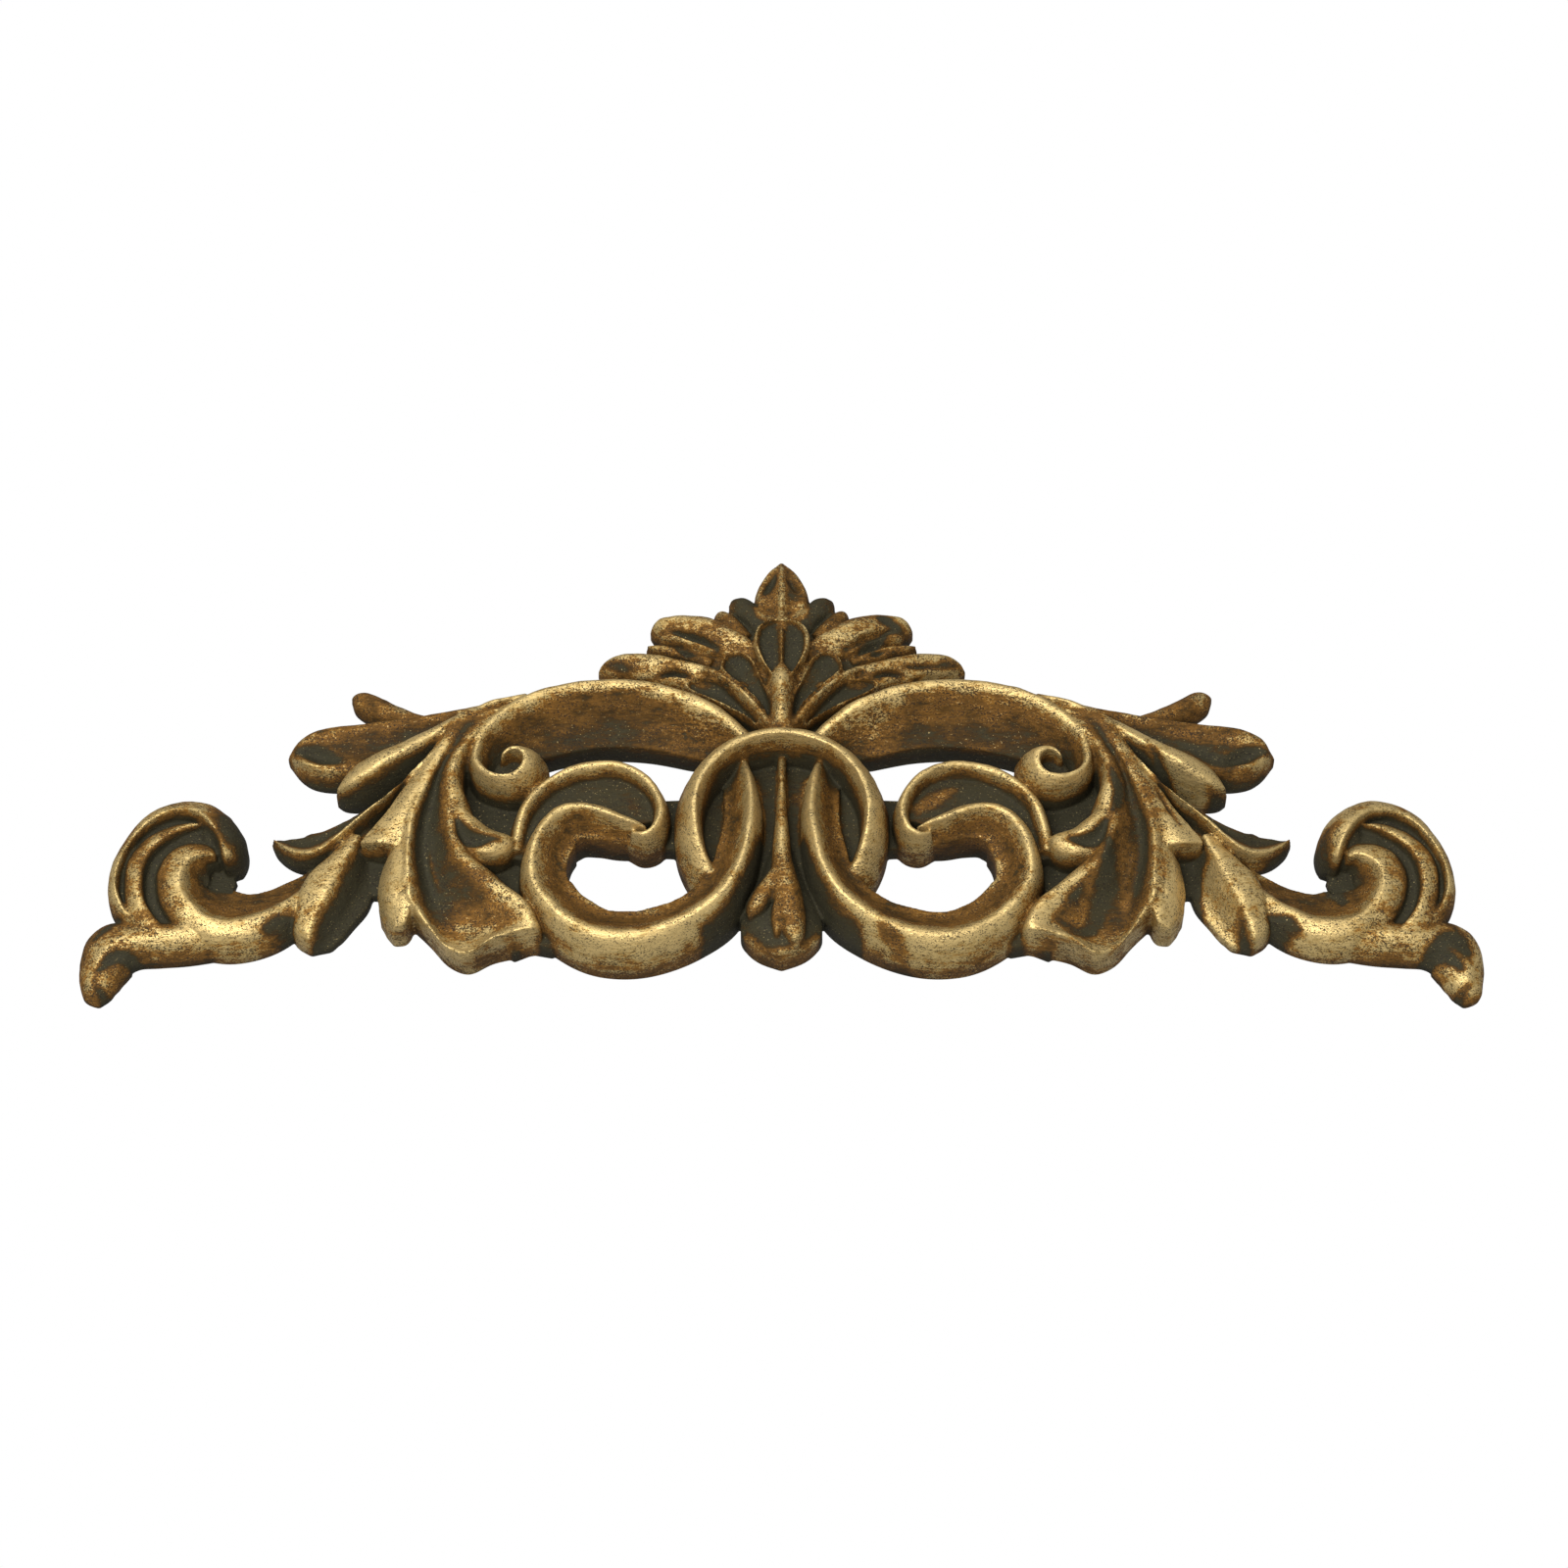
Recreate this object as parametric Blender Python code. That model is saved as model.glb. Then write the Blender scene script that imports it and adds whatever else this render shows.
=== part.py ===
"""A carved and gilded headpiece: one piece of openwork scrolls, acanthus leaves and a palmette, flat behind.

It hangs on a wall. X runs along it, Z is up, and the wall is the plane Y = 0, with the carving on the -Y side.
Plan sizes below are millimetres: x from the middle, z up from the mount, rise out from the wall.
"""

import math

import bmesh
import bpy
import numpy as np
from mathutils import Matrix, Vector

MM = 0.001

# Driving dimensions, in millimetres.
RING_CENTRE = (0.0, -11.0)
RING_RADIUS = 36.0
RING_RISE = 36.0
RING_FLOOR = 13.0

# How finely the carving is made, in millimetres.
STATION_STEP = 2.0
ACROSS = 20
BEHIND_WALL = 5.0
GOUGE_STEP = 0.7
CUT_ENDS = 0.35
LEAST_RISE = 4.0
VOXEL = 1.3
TRIANGLES = 9400

# Cross-sections: (across, share of the crest's rise), from the left edge at -1 to the right edge at 1.
COVE = [(-1, .42), (-.75, .49), (-.5, .62), (-.28, .81), (-.13, .955), (0, 1), (.3, .97), (.7, .8), (1, .5)]
SCROLL = [
    (-1, .56), (-.7, .62), (-.4, .78), (-.14, .965), (0, 1), (.2, .98), (.5, .88), (.8, .66), (1, .35),
]
RING = [
    (-1, .45), (-.75, .66), (-.42, .89), (-.14, .985), (0, 1), (.14, .985), (.4, .91), (.7, .76), (1, .46),
]
RIM = [(-1, .72), (-.5, .93), (0, 1), (.5, .92), (1, .6)]
FLAT = [(-1, 1), (1, 1)]
DISH = [
    (-1, .7), (-.9, .94), (-.8, .9), (-.66, .78), (-.3, .72), (0, .71), (.3, .72), (.66, .78), (.8, .9),
    (.9, .94), (1, .7),
]
STOUT = [(-1, .5), (-.7, .78), (-.35, .95), (0, 1), (.35, .95), (.7, .78), (1, .5)]
BLUNT = [(-1, .5), (-.8, .8), (-.4, .94), (0, 1), (.4, .97), (.8, .82), (1, .5)]
LEAFLET = [(-1, .5), (-.8, .74), (-.45, .88), (-.1, .94), (.2, .98), (.5, 1), (.8, .86), (1, .5)]
ROUND = [(-1, .35), (-.8, .65), (-.5, .87), (0, 1), (.5, .87), (.8, .65), (1, .35)]
ROUNDED = [(-1, .5), (-.5, .9), (0, 1), (.5, .9), (1, .5)]
CUPPED = [
    (-1, .25), (-.9, .5), (-.78, .82), (-.66, .88), (-.5, .84), (-.3, .8), (0, .84), (.3, .92), (.6, .97),
    (.85, .88), (1, .55),
]
ROLL = [(-1, .3), (-.7, .62), (-.42, .86), (-.2, .97), (0, 1), (.4, .95), (.75, .8), (1, .6)]
BLADE = [(-1, .4), (-.5, .7), (-.15, .95), (0, 1), (.12, .93), (.3, .78), (.6, .66), (.85, .66), (1, .5)]
HANGING = [(-1, .25), (-.6, .4), (-.25, .78), (0, 1), (.5, .96), (.85, .82), (1, .5)]
FACET = [(-1, 1), (-.5, 1), (0, .97), (.6, .85), (1, .55)]
PUFF = [(-1, .6), (-.8, .86), (-.4, .98), (0, 1), (.4, .98), (.8, .86), (1, .6)]
STALK = [
    (-1, .3), (-.85, .62), (-.6, .86), (-.3, .96), (0, 1), (.12, .9), (.3, .68), (.6, .48), (.8, .4),
    (1, .36),
]
INNER = [(-1, .66), (-.88, .8), (-.62, .92), (-.3, .98), (-.08, 1), (0, 1), (.5, .9), (1, .7)]
BULGE = [(-1, .3), (-.88, .58), (-.65, .8), (-.35, .93), (-.1, .99), (0, 1), (.5, .88), (1, .7)]
SAW = [(-1, .74), (-.86, .86), (-.5, .96), (-.2, 1), (0, .98), (.45, .86), (1, .66)]
EASED = [(-1, .9), (0, 1), (1, .8)]
HUSK = [(-1, .8), (-.85, .88), (-.5, .97), (0, 1), (.5, .97), (.85, .88), (1, .8)]
TONGUE = [(-1, .5), (-.85, .62), (-.6, .74), (-.3, .8), (0, .82), (.3, .8), (.6, .74), (.85, .62), (1, .5)]
PETAL = [
    (-1, .8), (-.93, .95), (-.86, .92), (-.76, .8), (-.5, .77), (-.16, .79), (-.08, .86), (0, .94),
    (.08, .86), (.16, .79), (.5, .77), (.76, .8), (.86, .92), (.93, .95), (1, .8),
]
LEAF = [
    (-1, .6), (-.85, .84), (-.5, .82), (-.2, .9), (-.06, 1), (.06, 1), (.2, .9), (.5, .82), (.85, .84),
    (1, .6),
]
RAISED_MIDDLE = [(-1, .8), (-.6, .95), (-.3, 1.3), (0, 1.6), (.3, 1.3), (.6, .95), (1, .8)]

# Bands of the left half: a cross-section, the length over which its rim wraps round the tip, and stations of
# (x, z, width to the left, width to the right, rise). Left and right are as seen by someone walking the band.
SIDE_BANDS = {
    "arch": (COVE, 0, [
        (-14, 30, 12, 5, 22), (-30, 42, 18, 6, 28), (-53, 50.5, 21, 6, 30), (-76, 52.5, 22, 6, 30),
        (-99, 48.5, 22, 6, 30), (-115, 40, 20, 6, 30), (-125, 29, 15, 5, 30), (-128.3, 17.5, 11, 4, 30),
        (-126, 11, 9, 4, 31), (-121.6, 7.6, 7, 4, 31.5), (-115.9, 6.5, 5, 5, 32), (-110.8, 8, 3.5, 7, 32.5),
        (-108, 12, 2.4, 9.5, 33), (-108.3, 15.8, 2, 10, 33.5), (-110.8, 18, 1.8, 6, 33.5),
        (-113.8, 18, 1.6, 4.5, 33), (-116.2, 16.3, 1.4, 3, 32), (-117, 14.6, .5, .5, 31),
    ]),
    "scroll": (SCROLL, 0, [
        (-56.5, -14.5, 1.5, 2, 24), (-61.5, -13.5, 4, 4.5, 27), (-68, -12, 5.5, 6.5, 29),
        (-75.5, -9.3, 7, 6.5, 30),
        (-84, -7.2, 9.5, 6, 30), (-93, -9.5, 12, 6, 30), (-100, -18.5, 13, 6, 30), (-103.3, -30, 14, 6, 29),
        (-102.5, -41, 16, 6, 28), (-96, -51.5, 16.5, 7, 27.5), (-86.5, -59.5, 16.5, 7.5, 27),
        (-75.5, -64.8, 16.5, 7.5, 27), (-62.5, -66, 16.5, 7.5, 27), (-50, -63.5, 16, 7.5, 28),
        (-37, -58, 15, 7, 30),
        (-24.5, -49, 15, 6.5, 33), (-17, -36, 13.5, 6, 34), (-13.5, -21, 13, 5.5, 34),
        (-12.3, -8, 12, 5, 32.5),
        (-13.5, 7, 11, 4, 29), (-15.5, 17, 9, 3, 24), (-16.5, 22, 7, 2, 20),
    ]),
    "shell_rim": (RIM, 0, [
        (-62.5, -16.5, 2, 2, 24), (-57.5, -18, 2, 3, 26), (-52.8, -15, 2.5, 4, 27), (-50.5, -8, 3, 4, 27),
        (-52.5, 1, 3, 4, 27), (-59, 9.5, 3, 4, 27), (-70, 14.5, 3.4, 4, 27), (-84, 14, 4, 4, 26),
        (-97, 8, 4, 4, 25), (-105.5, -1, 4, 4, 24), (-109.5, -12, 4, 4, 22), (-110.5, -24, 4, 4, 20),
    ]),
    "shell_floor": (FLAT, 0, [
        (-58, -10, 6, 6, 19), (-62, 0, 12, 6, 19), (-72, 5, 12, 8, 19), (-85, 4, 12, 8, 18),
        (-97, -3, 10, 8, 17), (-104, -14, 6, 6, 17), (-107, -26, 5, 5, 16),
    ]),
    "first_petal": (DISH, 7, [
        (-4, 38, 1.6, 1.6, 26), (-6.3, 45.6, 2, 2, 25.5), (-9.4, 52, 3.6, 3.4, 25),
        (-13.2, 58.6, 5.4, 5, 24.4),
        (-17, 64.6, 7.4, 6.6, 23.6), (-19.8, 68.8, 7.8, 6.4, 22.6), (-22.2, 71.8, 5.4, 4.4, 21.2),
        (-24, 73.8, .5, .5, 20),
    ]),
    "petal_ridge": (STOUT, 0, [
        (-5.5, 35, 3.4, 3.4, 27), (-9.4, 41.4, 3.1, 3.1, 26.6), (-13.2, 46.8, 3, 3, 26.2),
        (-18.4, 52.8, 2.8, 2.9, 25.4),
        (-24, 58.6, 2.8, 3, 24.2), (-30, 63.4, 3, 3.2, 22.2), (-35, 66, 1, 1, 18),
    ]),
    "second_petal": (DISH, 8, [
        (-9, 37.4, 1.4, 1.6, 23.5), (-13.6, 43.4, 3.2, 3.4, 23.2), (-19.4, 48.8, 4.6, 4.8, 22.8),
        (-25.6, 53.2, 5.4, 5, 22.2),
        (-32, 56.8, 5.2, 4.6, 21.2), (-37.6, 58.8, 3.6, 3, 20), (-42, 59.4, .5, .5, 18.5),
    ]),
    "back_leaf_1": (BLUNT, 5, [
        (-6, 86, 5, 4, 18), (-10.4, 92, 6, 5.4, 18), (-15, 98, 6.4, 6, 17), (-18.8, 102.4, 5.6, 5.4, 15.5),
        (-22.4, 106, .6, .6, 13),
    ]),
    "back_leaf_2": (LEAFLET, 6, [
        (-10, 71, 5, 7, 19.5), (-22, 78.6, 6.5, 9.5, 20), (-33, 84.4, 7.4, 11, 19),
        (-42.5, 89, 7, 9.4, 16.5),
        (-50, 91.8, 6.6, 6.2, 14), (-54.6, 92.2, 3.8, 3.6, 12), (-56.8, 92.2, .5, .5, 11),
    ]),
    "back_leaf_2_side": (ROUND, 4, [
        (-16, 83, 6, 6, 18.5), (-20.5, 90, 6.4, 5.6, 17.5), (-24.5, 95.4, 5.6, 5, 15.5),
        (-27.4, 98.6, 3.4, 3.2, 13.5),
        (-29, 100.2, .5, .5, 12.5),
    ]),
    "back_leaf_3": (ROUNDED, 0, [
        (-30, 72, 4, 4, 15.5), (-42, 77.5, 4, 3.5, 14), (-52, 81, 3, 3, 12), (-58.5, 83, .5, .5, 9.5),
    ]),
    "back_leaf_4": (LEAFLET, 8, [
        (-16, 55, 6, 6, 18.5), (-32, 63, 7.5, 6.5, 18.5), (-46, 68, 7.5, 6.2, 17.5),
        (-58, 71.3, 6.4, 6.8, 15.5),
        (-68, 72.8, 5.2, 6.6, 13), (-75, 73, 3.5, 4, 10.5), (-79, 72.4, .5, .5, 9),
    ]),
    "lobe_a": (ROUND, 5, [
        (-138, 41, 5, 5, 14), (-154, 44, 6.4, 5.6, 13.5), (-165, 48.6, 6.4, 6.2, 12.5),
        (-173.4, 53.6, 6, 6.2, 11),
        (-180, 58, 5, 5.4, 9.5), (-184.6, 60.6, .5, .5, 8),
    ]),
    "lobe_b": (CUPPED, 16, [
        (-98, 50, 3, 4, 24), (-120, 45, 5, 4.5, 22), (-140, 41, 9, 6, 19), (-160, 36.5, 14, 7.5, 17.5),
        (-178, 33, 17, 9.5, 16.5), (-193, 30, 15, 11, 15.5), (-203, 29, 10, 8, 14.5),
        (-209.5, 28.5, .5, .5, 12),
    ]),
    "lobe_c": (ROLL, 0, [
        (-108, 49, 3, 3, 26), (-122, 44, 3, 4, 28), (-136, 36, 4, 5, 28.5), (-147, 28.5, 6, 7, 28),
        (-158, 22, 7, 8, 27.5), (-168, 16.5, 7, 9, 26), (-177, 12, 6.5, 9, 22.5), (-184, 9.5, 4, 5.5, 17.5),
        (-188, 9, .5, .5, 13),
    ]),
    "lobe_d": (BLADE, 0, [
        (-116, 43, 3, 3, 28), (-130, 35, 3, 3, 29), (-141, 25, 2.6, 3, 29), (-152, 13.5, 2.6, 3.5, 28),
        (-162.5, 2.2, 2.6, 4.5, 26.5), (-171, -5, 2.8, 5.5, 25), (-178.5, -11, 3, 7, 23),
        (-185, -16.3, 3, 9.5, 20.5),
        (-191, -20.2, 3, 12, 18), (-197, -21.8, 3, 13, 16), (-204, -20.3, 2.6, 12, 14),
        (-210, -16, 2, 7.5, 12),
        (-213.8, -11.5, .6, .6, 9.5),
    ]),
    "lobe_e": (HANGING, 0, [
        (-176, -15, 8, 6, 18), (-181, -26, 12, 9, 19), (-185.5, -37, 14, 13.5, 20),
        (-189.5, -47, 11.5, 13.5, 20),
        (-193, -54, 10, 10.5, 18), (-194.5, -59.5, 7.5, 7.5, 15.5), (-195, -62.8, .5, .5, 13),
    ]),
    "lobe_f": (FACET, 0, [
        (-155, -14, .6, 3, 26), (-155.4, -21, 1, 7.4, 27.6), (-156, -30, 1.8, 10.2, 27.8),
        (-156.8, -40, 2.8, 10.8, 27),
        (-157.5, -47.5, 4.6, 9.8, 24.5), (-158.5, -52.5, 5, 8.4, 21.5), (-160, -56, 4, 5, 18.5),
        (-161, -58, .5, .5, 17),
    ]),
    "pocket_lobe": (PUFF, 6, [
        (-136.5, -2, 3, 3, 27), (-134.3, -9, 5, 5, 28.3), (-131, -15, 7.4, 7, 28.6),
        (-127, -19.5, 8.2, 8.6, 28),
        (-122, -21.4, 8, 8, 27), (-117, -21, 6.8, 6.8, 25.6), (-112.6, -19.6, 4.4, 4.4, 24),
        (-109.6, -18.4, .5, .5, 23),
    ]),
    "stalk": (STALK, 0, [
        (-170, -6, 9, 5, 13), (-178, -16, 9, 6, 13), (-190, -30, 8, 9, 14), (-201, -42, 9, 13, 16),
        (-211, -50.5, 10, 17, 18),
        (-220, -55, 10, 20, 18.5), (-230, -56.5, 10, 22, 19), (-238.5, -54, 10, 20, 19.5),
        (-244.5, -48, 9, 19, 20), (-248, -41, 8, 16, 20.2), (-248.6, -34, 7, 13, 20.2),
        (-246, -28.5, 6, 9, 20),
        (-241, -25.3, 4, 6, 19), (-237, -24.8, .5, .5, 17),
    ]),
    "inner_roll": (INNER, 0, [
        (-238, -58, 5, 1, 17), (-242.8, -52.2, 8, 1.2, 19), (-246.6, -46, 10.2, 1.2, 20.4),
        (-249, -38.5, 11, 1.2, 20.8),
        (-248.8, -33, 11.6, 1.2, 20.8), (-246.2, -28.4, 11.4, 1.2, 20.8), (-242.2, -25.6, 8.8, 1.2, 20.4),
        (-238.6, -24.8, 6.6, 1, 19.8), (-235, -25.6, 3, .6, 18),
    ]),
    "volute_rim": (BULGE, 0, [
        (-268, -55, 3, 2, 15), (-273, -47.5, 4, 1.4, 17), (-275.8, -41, 4.6, 1.2, 18.5),
        (-276.2, -34, 4.6, 1.2, 19.5),
        (-274.5, -26, 5.2, 1.2, 20), (-271, -19.2, 6, 1.2, 20.5), (-266.5, -12.7, 7, 1.2, 21),
        (-261, -8.3, 7.8, 1.2, 22),
        (-255, -6, 8.6, 1.2, 23), (-249, -5.9, 10, 1.3, 24), (-244, -7.6, 11, 1.4, 25),
        (-240, -11.2, 12, 1.5, 26),
        (-236.7, -15.3, 12, 1.6, 26.5), (-234, -19.6, 11, 1.8, 26), (-231.8, -24.5, 8.5, 2, 24),
        (-230.5, -28, 5, 1, 20),
    ]),
    "middle_roll": (SAW, 0, [
        (-254.5, -58.5, 7, 1, 16.5), (-258.1, -55, 9, 1.2, 18), (-262.2, -49.5, 8.5, 1.2, 19),
        (-264.6, -43.8, 7.6, 1.2, 19.5),
        (-265.6, -37, 7.6, 1.2, 19.8), (-265, -30, 8.2, 1.2, 20), (-262.4, -23.6, 7.8, 1.2, 20.2),
        (-257.8, -18.4, 6.8, 1.2, 20.4),
        (-251.8, -14.6, 5.4, 1.1, 20.8), (-246, -12.2, 3, .8, 21), (-242, -11.4, .6, .4, 21),
    ]),
    "tail": (ROUND, 8, [
        (-232, -57, 8, 6, 15), (-246, -59.5, 8, 8, 16.5), (-258, -60, 8.5, 8.5, 17),
        (-268, -60.5, 9, 10, 16),
        (-276, -63.5, 11, 13.5, 14.5), (-281, -71.5, 10.5, 10, 12.5), (-282.5, -79, 8.5, 7, 11),
        (-282, -84, 5.5, 5, 9.5), (-281.5, -87, .5, .5, 8),
    ]),
    "volute_bed": (FLAT, 0, [
        (-247, -56, 4, 4, 11), (-257, -54, 7, 8, 12), (-264.5, -46, 10, 13, 12.5), (-268, -33, 9, 15, 13.2),
        (-264.5, -23, 10, 16, 14), (-258, -15.5, 11, 14, 14.5), (-250, -11, 11, 12, 15.5),
        (-242, -13, 8, 10, 16),
        (-235, -18, 6, 6, 15),
    ]),
    "volute_hollow": (FLAT, 0, [(-247, -31, 6, 6, 6), (-238, -30.5, 6, 6, 5), (-229, -33, 4, 3, 4)]),
    "leaf_bed": (FLAT, 0, [(-120, 36, 10, 8, 8), (-145, 26, 12, 10, 8), (-172, 20, 8, 6, 7)]),
    "web": (FLAT, 0, [(-165, -2, 6, 6, 9), (-164, -12, 10, 10, 9), (-167, -24, 8, 8, 7), (-169.5, -37, 6, 6, 5)]),
    "lip_heel": (EASED, 0, [(-112, -57, 5, 4, 10), (-102, -58.5, 6, 4, 12), (-94, -60, 5, 4, 12)]),
    "bridge": (FLAT, 0, [(-60, -5, 12, 11, 9), (-40, -6, 13, 11, 9)]),
    "crevice": (FLAT, 0, [
        (-116, 26, 8, 16, 8), (-114, 5, 16, 20, 9), (-112, -20, 14, 22, 9), (-104, -46, 14, 22, 9),
        (-98, -60, 10, 14, 8),
    ]),
}

# Bands on the middle line.
MIDDLE_BANDS = {
    "stem": (HUSK, 3, [
        (0, 22, 1.8, 1.8, 20), (0, 14, 1.7, 1.7, 22.5), (0, 5, 1.8, 1.8, 24), (0, -5, 2.4, 2.4, 26),
        (0, -14, 3.1, 3.1, 27),
        (0, -24, 3.8, 3.8, 27.6), (.4, -33, 5, 5, 27.6), (1.4, -41, 6, 6, 27.4), (3, -49, 6.2, 6.2, 26.6),
        (4.4, -56.5, 5.6, 5.6, 25), (5.4, -62, 4.4, 4.2, 23), (6, -67, .5, .5, 20.5),
    ]),
    "stem_petal_left": (HUSK, 3, [
        (-2, -35, 3, 3, 26.5), (-5.6, -41.5, 4, 4, 26.2), (-9, -47, 4.4, 4.4, 25.2),
        (-11.4, -51, 3.8, 3.8, 23.8),
        (-13, -54.5, .5, .5, 22.5),
    ]),
    "stem_foot": (HUSK, 2, [(-1.6, -50, 2.4, 2.4, 24), (-2, -57, 2.4, 2.4, 23), (-2, -64, 1, 1, 20.5)]),
    "tongue": (TONGUE, 0, [
        (0, -20, 6, 6, 20), (0, -34, 10, 10, 22), (0, -46, 15, 15, 23), (0, -56, 17, 17, 23),
        (0, -62, 14, 14, 22), (0, -66.5, 8.5, 8.5, 20.5), (0, -69.6, .5, .5, 19),
    ]),
    "middle_petal": (PETAL, 6, [
        (0, 55, 3, 3, 28), (0, 60, 5.4, 5.4, 29), (0, 65, 8.6, 8.6, 29.2), (0, 70.5, 11, 11, 29),
        (0, 76.5, 12, 12, 28.4),
        (0, 82.5, 11, 11, 27.2), (0, 86.6, 7.4, 7.4, 26.2), (0, 89, .5, .5, 25.5),
    ]),
    "palmette_root": (STOUT, 0, [
        (0, 28, 10.5, 10.5, 27), (0, 33, 9.6, 9.6, 29), (0, 38, 7.2, 7.2, 30), (0, 44, 6.2, 6.2, 30.8),
        (0, 51, 7.4, 7.4, 30.8),
        (0, 56.5, 8.2, 8.2, 30.2), (0, 61, 6.6, 6.6, 29), (0, 65, 2, 2, 27), (0, 67, 1, 1, 25),
    ]),
    "top_leaf": (LEAF, 5, [
        (0, 80, 6, 6, 18), (0, 92, 9.5, 9.5, 18.5), (0, 101, 11.2, 11.2, 18), (0, 106, 11.6, 11.6, 17.5),
        (0, 112, 10.4, 10.4, 16.5), (0, 118, 7, 7, 15), (0, 122.5, 3.6, 3.6, 13), (0, 126.5, .4, .4, 11),
    ]),
    "fan": (RAISED_MIDDLE, 0, [
        (0, 30, 20, 20, 10), (0, 44, 30, 30, 12), (0, 56, 36, 36, 14), (0, 66, 40, 40, 14.5),
        (0, 80, 30, 30, 14),
        (0, 92, 14, 14, 12), (0, 100, 8, 8, 8),
    ]),
}

# Nets of points (x, z, rise) for the left half's freer forms: rows from root to tip, each across from the middle
# side outwards.
GREAT_LOBE = [
    [(-103, 44, 18), (-104, 45, 20), (-105, 45.8, 21), (-106, 46.6, 21.5), (-107, 47.2, 21.5),
     (-108, 47.8, 21.5),
     (-109, 48.2, 21.5), (-110.5, 48.6, 20)],
    [(-120, 32, 22), (-122, 33, 29), (-124, 34, 29.5), (-126, 35, 29), (-128, 36, 28.8), (-130, 37, 29.2),
     (-132, 38, 29.6), (-135, 39, 28.6)],
    [(-130, 19.5, 22), (-132, 21, 29.5), (-134.5, 20.5, 30.5), (-137, 20, 29), (-139, 19.5, 27.5),
     (-140.5, 19, 28.5),
     (-142, 18.5, 29.6), (-145, 18.5, 29.2)],
    [(-133.5, 8, 20), (-135.5, 9, 28), (-138.5, 8.5, 30), (-142.3, 8, 27), (-144.3, 7.5, 24.5),
     (-145.4, 7.3, 26.5),
     (-146.8, 7, 29.5), (-150, 7, 29.2)],
    [(-130.5, -2, 20), (-132.8, -2, 27.5), (-137.5, -2.5, 29.5), (-142, -3, 26), (-145, -3, 23),
     (-148, -3, 23.5),
     (-150.4, -3, 29.3), (-154, -3, 28.8)],
    [(-127, -13, 20), (-131, -13, 25), (-137.5, -13, 29), (-141.8, -13, 25.5), (-146, -13, 22),
     (-150, -13, 22),
     (-153, -13, 28.8), (-156.5, -13, 28)],
    [(-127.5, -25, 19), (-130.5, -25.5, 25), (-135, -26, 28.5), (-139, -26.5, 24), (-144.5, -27, 20),
     (-150, -27, 20),
     (-154.2, -27, 28.5), (-157.5, -27, 26)],
    [(-116, -37, 18), (-119.5, -38.5, 26), (-127, -38.5, 26.5), (-134.5, -39, 22), (-141, -39, 18),
     (-147, -39, 17.5),
     (-153.3, -39, 27.5), (-156.5, -39, 25)],
    [(-103.5, -48.5, 18), (-107, -49.5, 26), (-116, -50.5, 23.5), (-126, -51.5, 18.5), (-136, -52, 15.5),
     (-144, -51.5, 16), (-152.3, -49, 25.5), (-155.5, -48, 23)],
    [(-99.5, -58, 18), (-102.3, -58.5, 25.5), (-113, -59.5, 22), (-124, -61, 17.5), (-134.5, -60.8, 15),
     (-142, -57.5, 15.5), (-149, -53.5, 21.5), (-152.5, -52, 19)],
    [(-99, -60.8, 17), (-101.4, -62.2, 24), (-110, -64, 25), (-119.7, -66.5, 22), (-129.3, -71.3, 19.5),
     (-138, -67.8, 18.5), (-145, -59.8, 20), (-149, -55.5, 18)],
]
WEDGE = [
    [(-118, 43, 22), (-120, 43.6, 22.5), (-122, 44, 21)],
    [(-131, 36, 28.8), (-133.5, 37, 28.8), (-136, 38, 26.5)],
    [(-141, 18.5, 29.3), (-144.5, 19.5, 29.2), (-148, 20.5, 26)],
    [(-147.5, 3, 29.2), (-152, 4, 29.2), (-157, 5.5, 25.5)],
    [(-152, -9, 28.4), (-158.5, -8.5, 28), (-166, -9, 24.5)],
    [(-155, -18, 27), (-163.5, -17.5, 26.8), (-172.5, -17, 23.5)],
    [(-158, -24, 24.5), (-166.5, -23, 26.3), (-175.5, -21.5, 23)],
]

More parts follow.
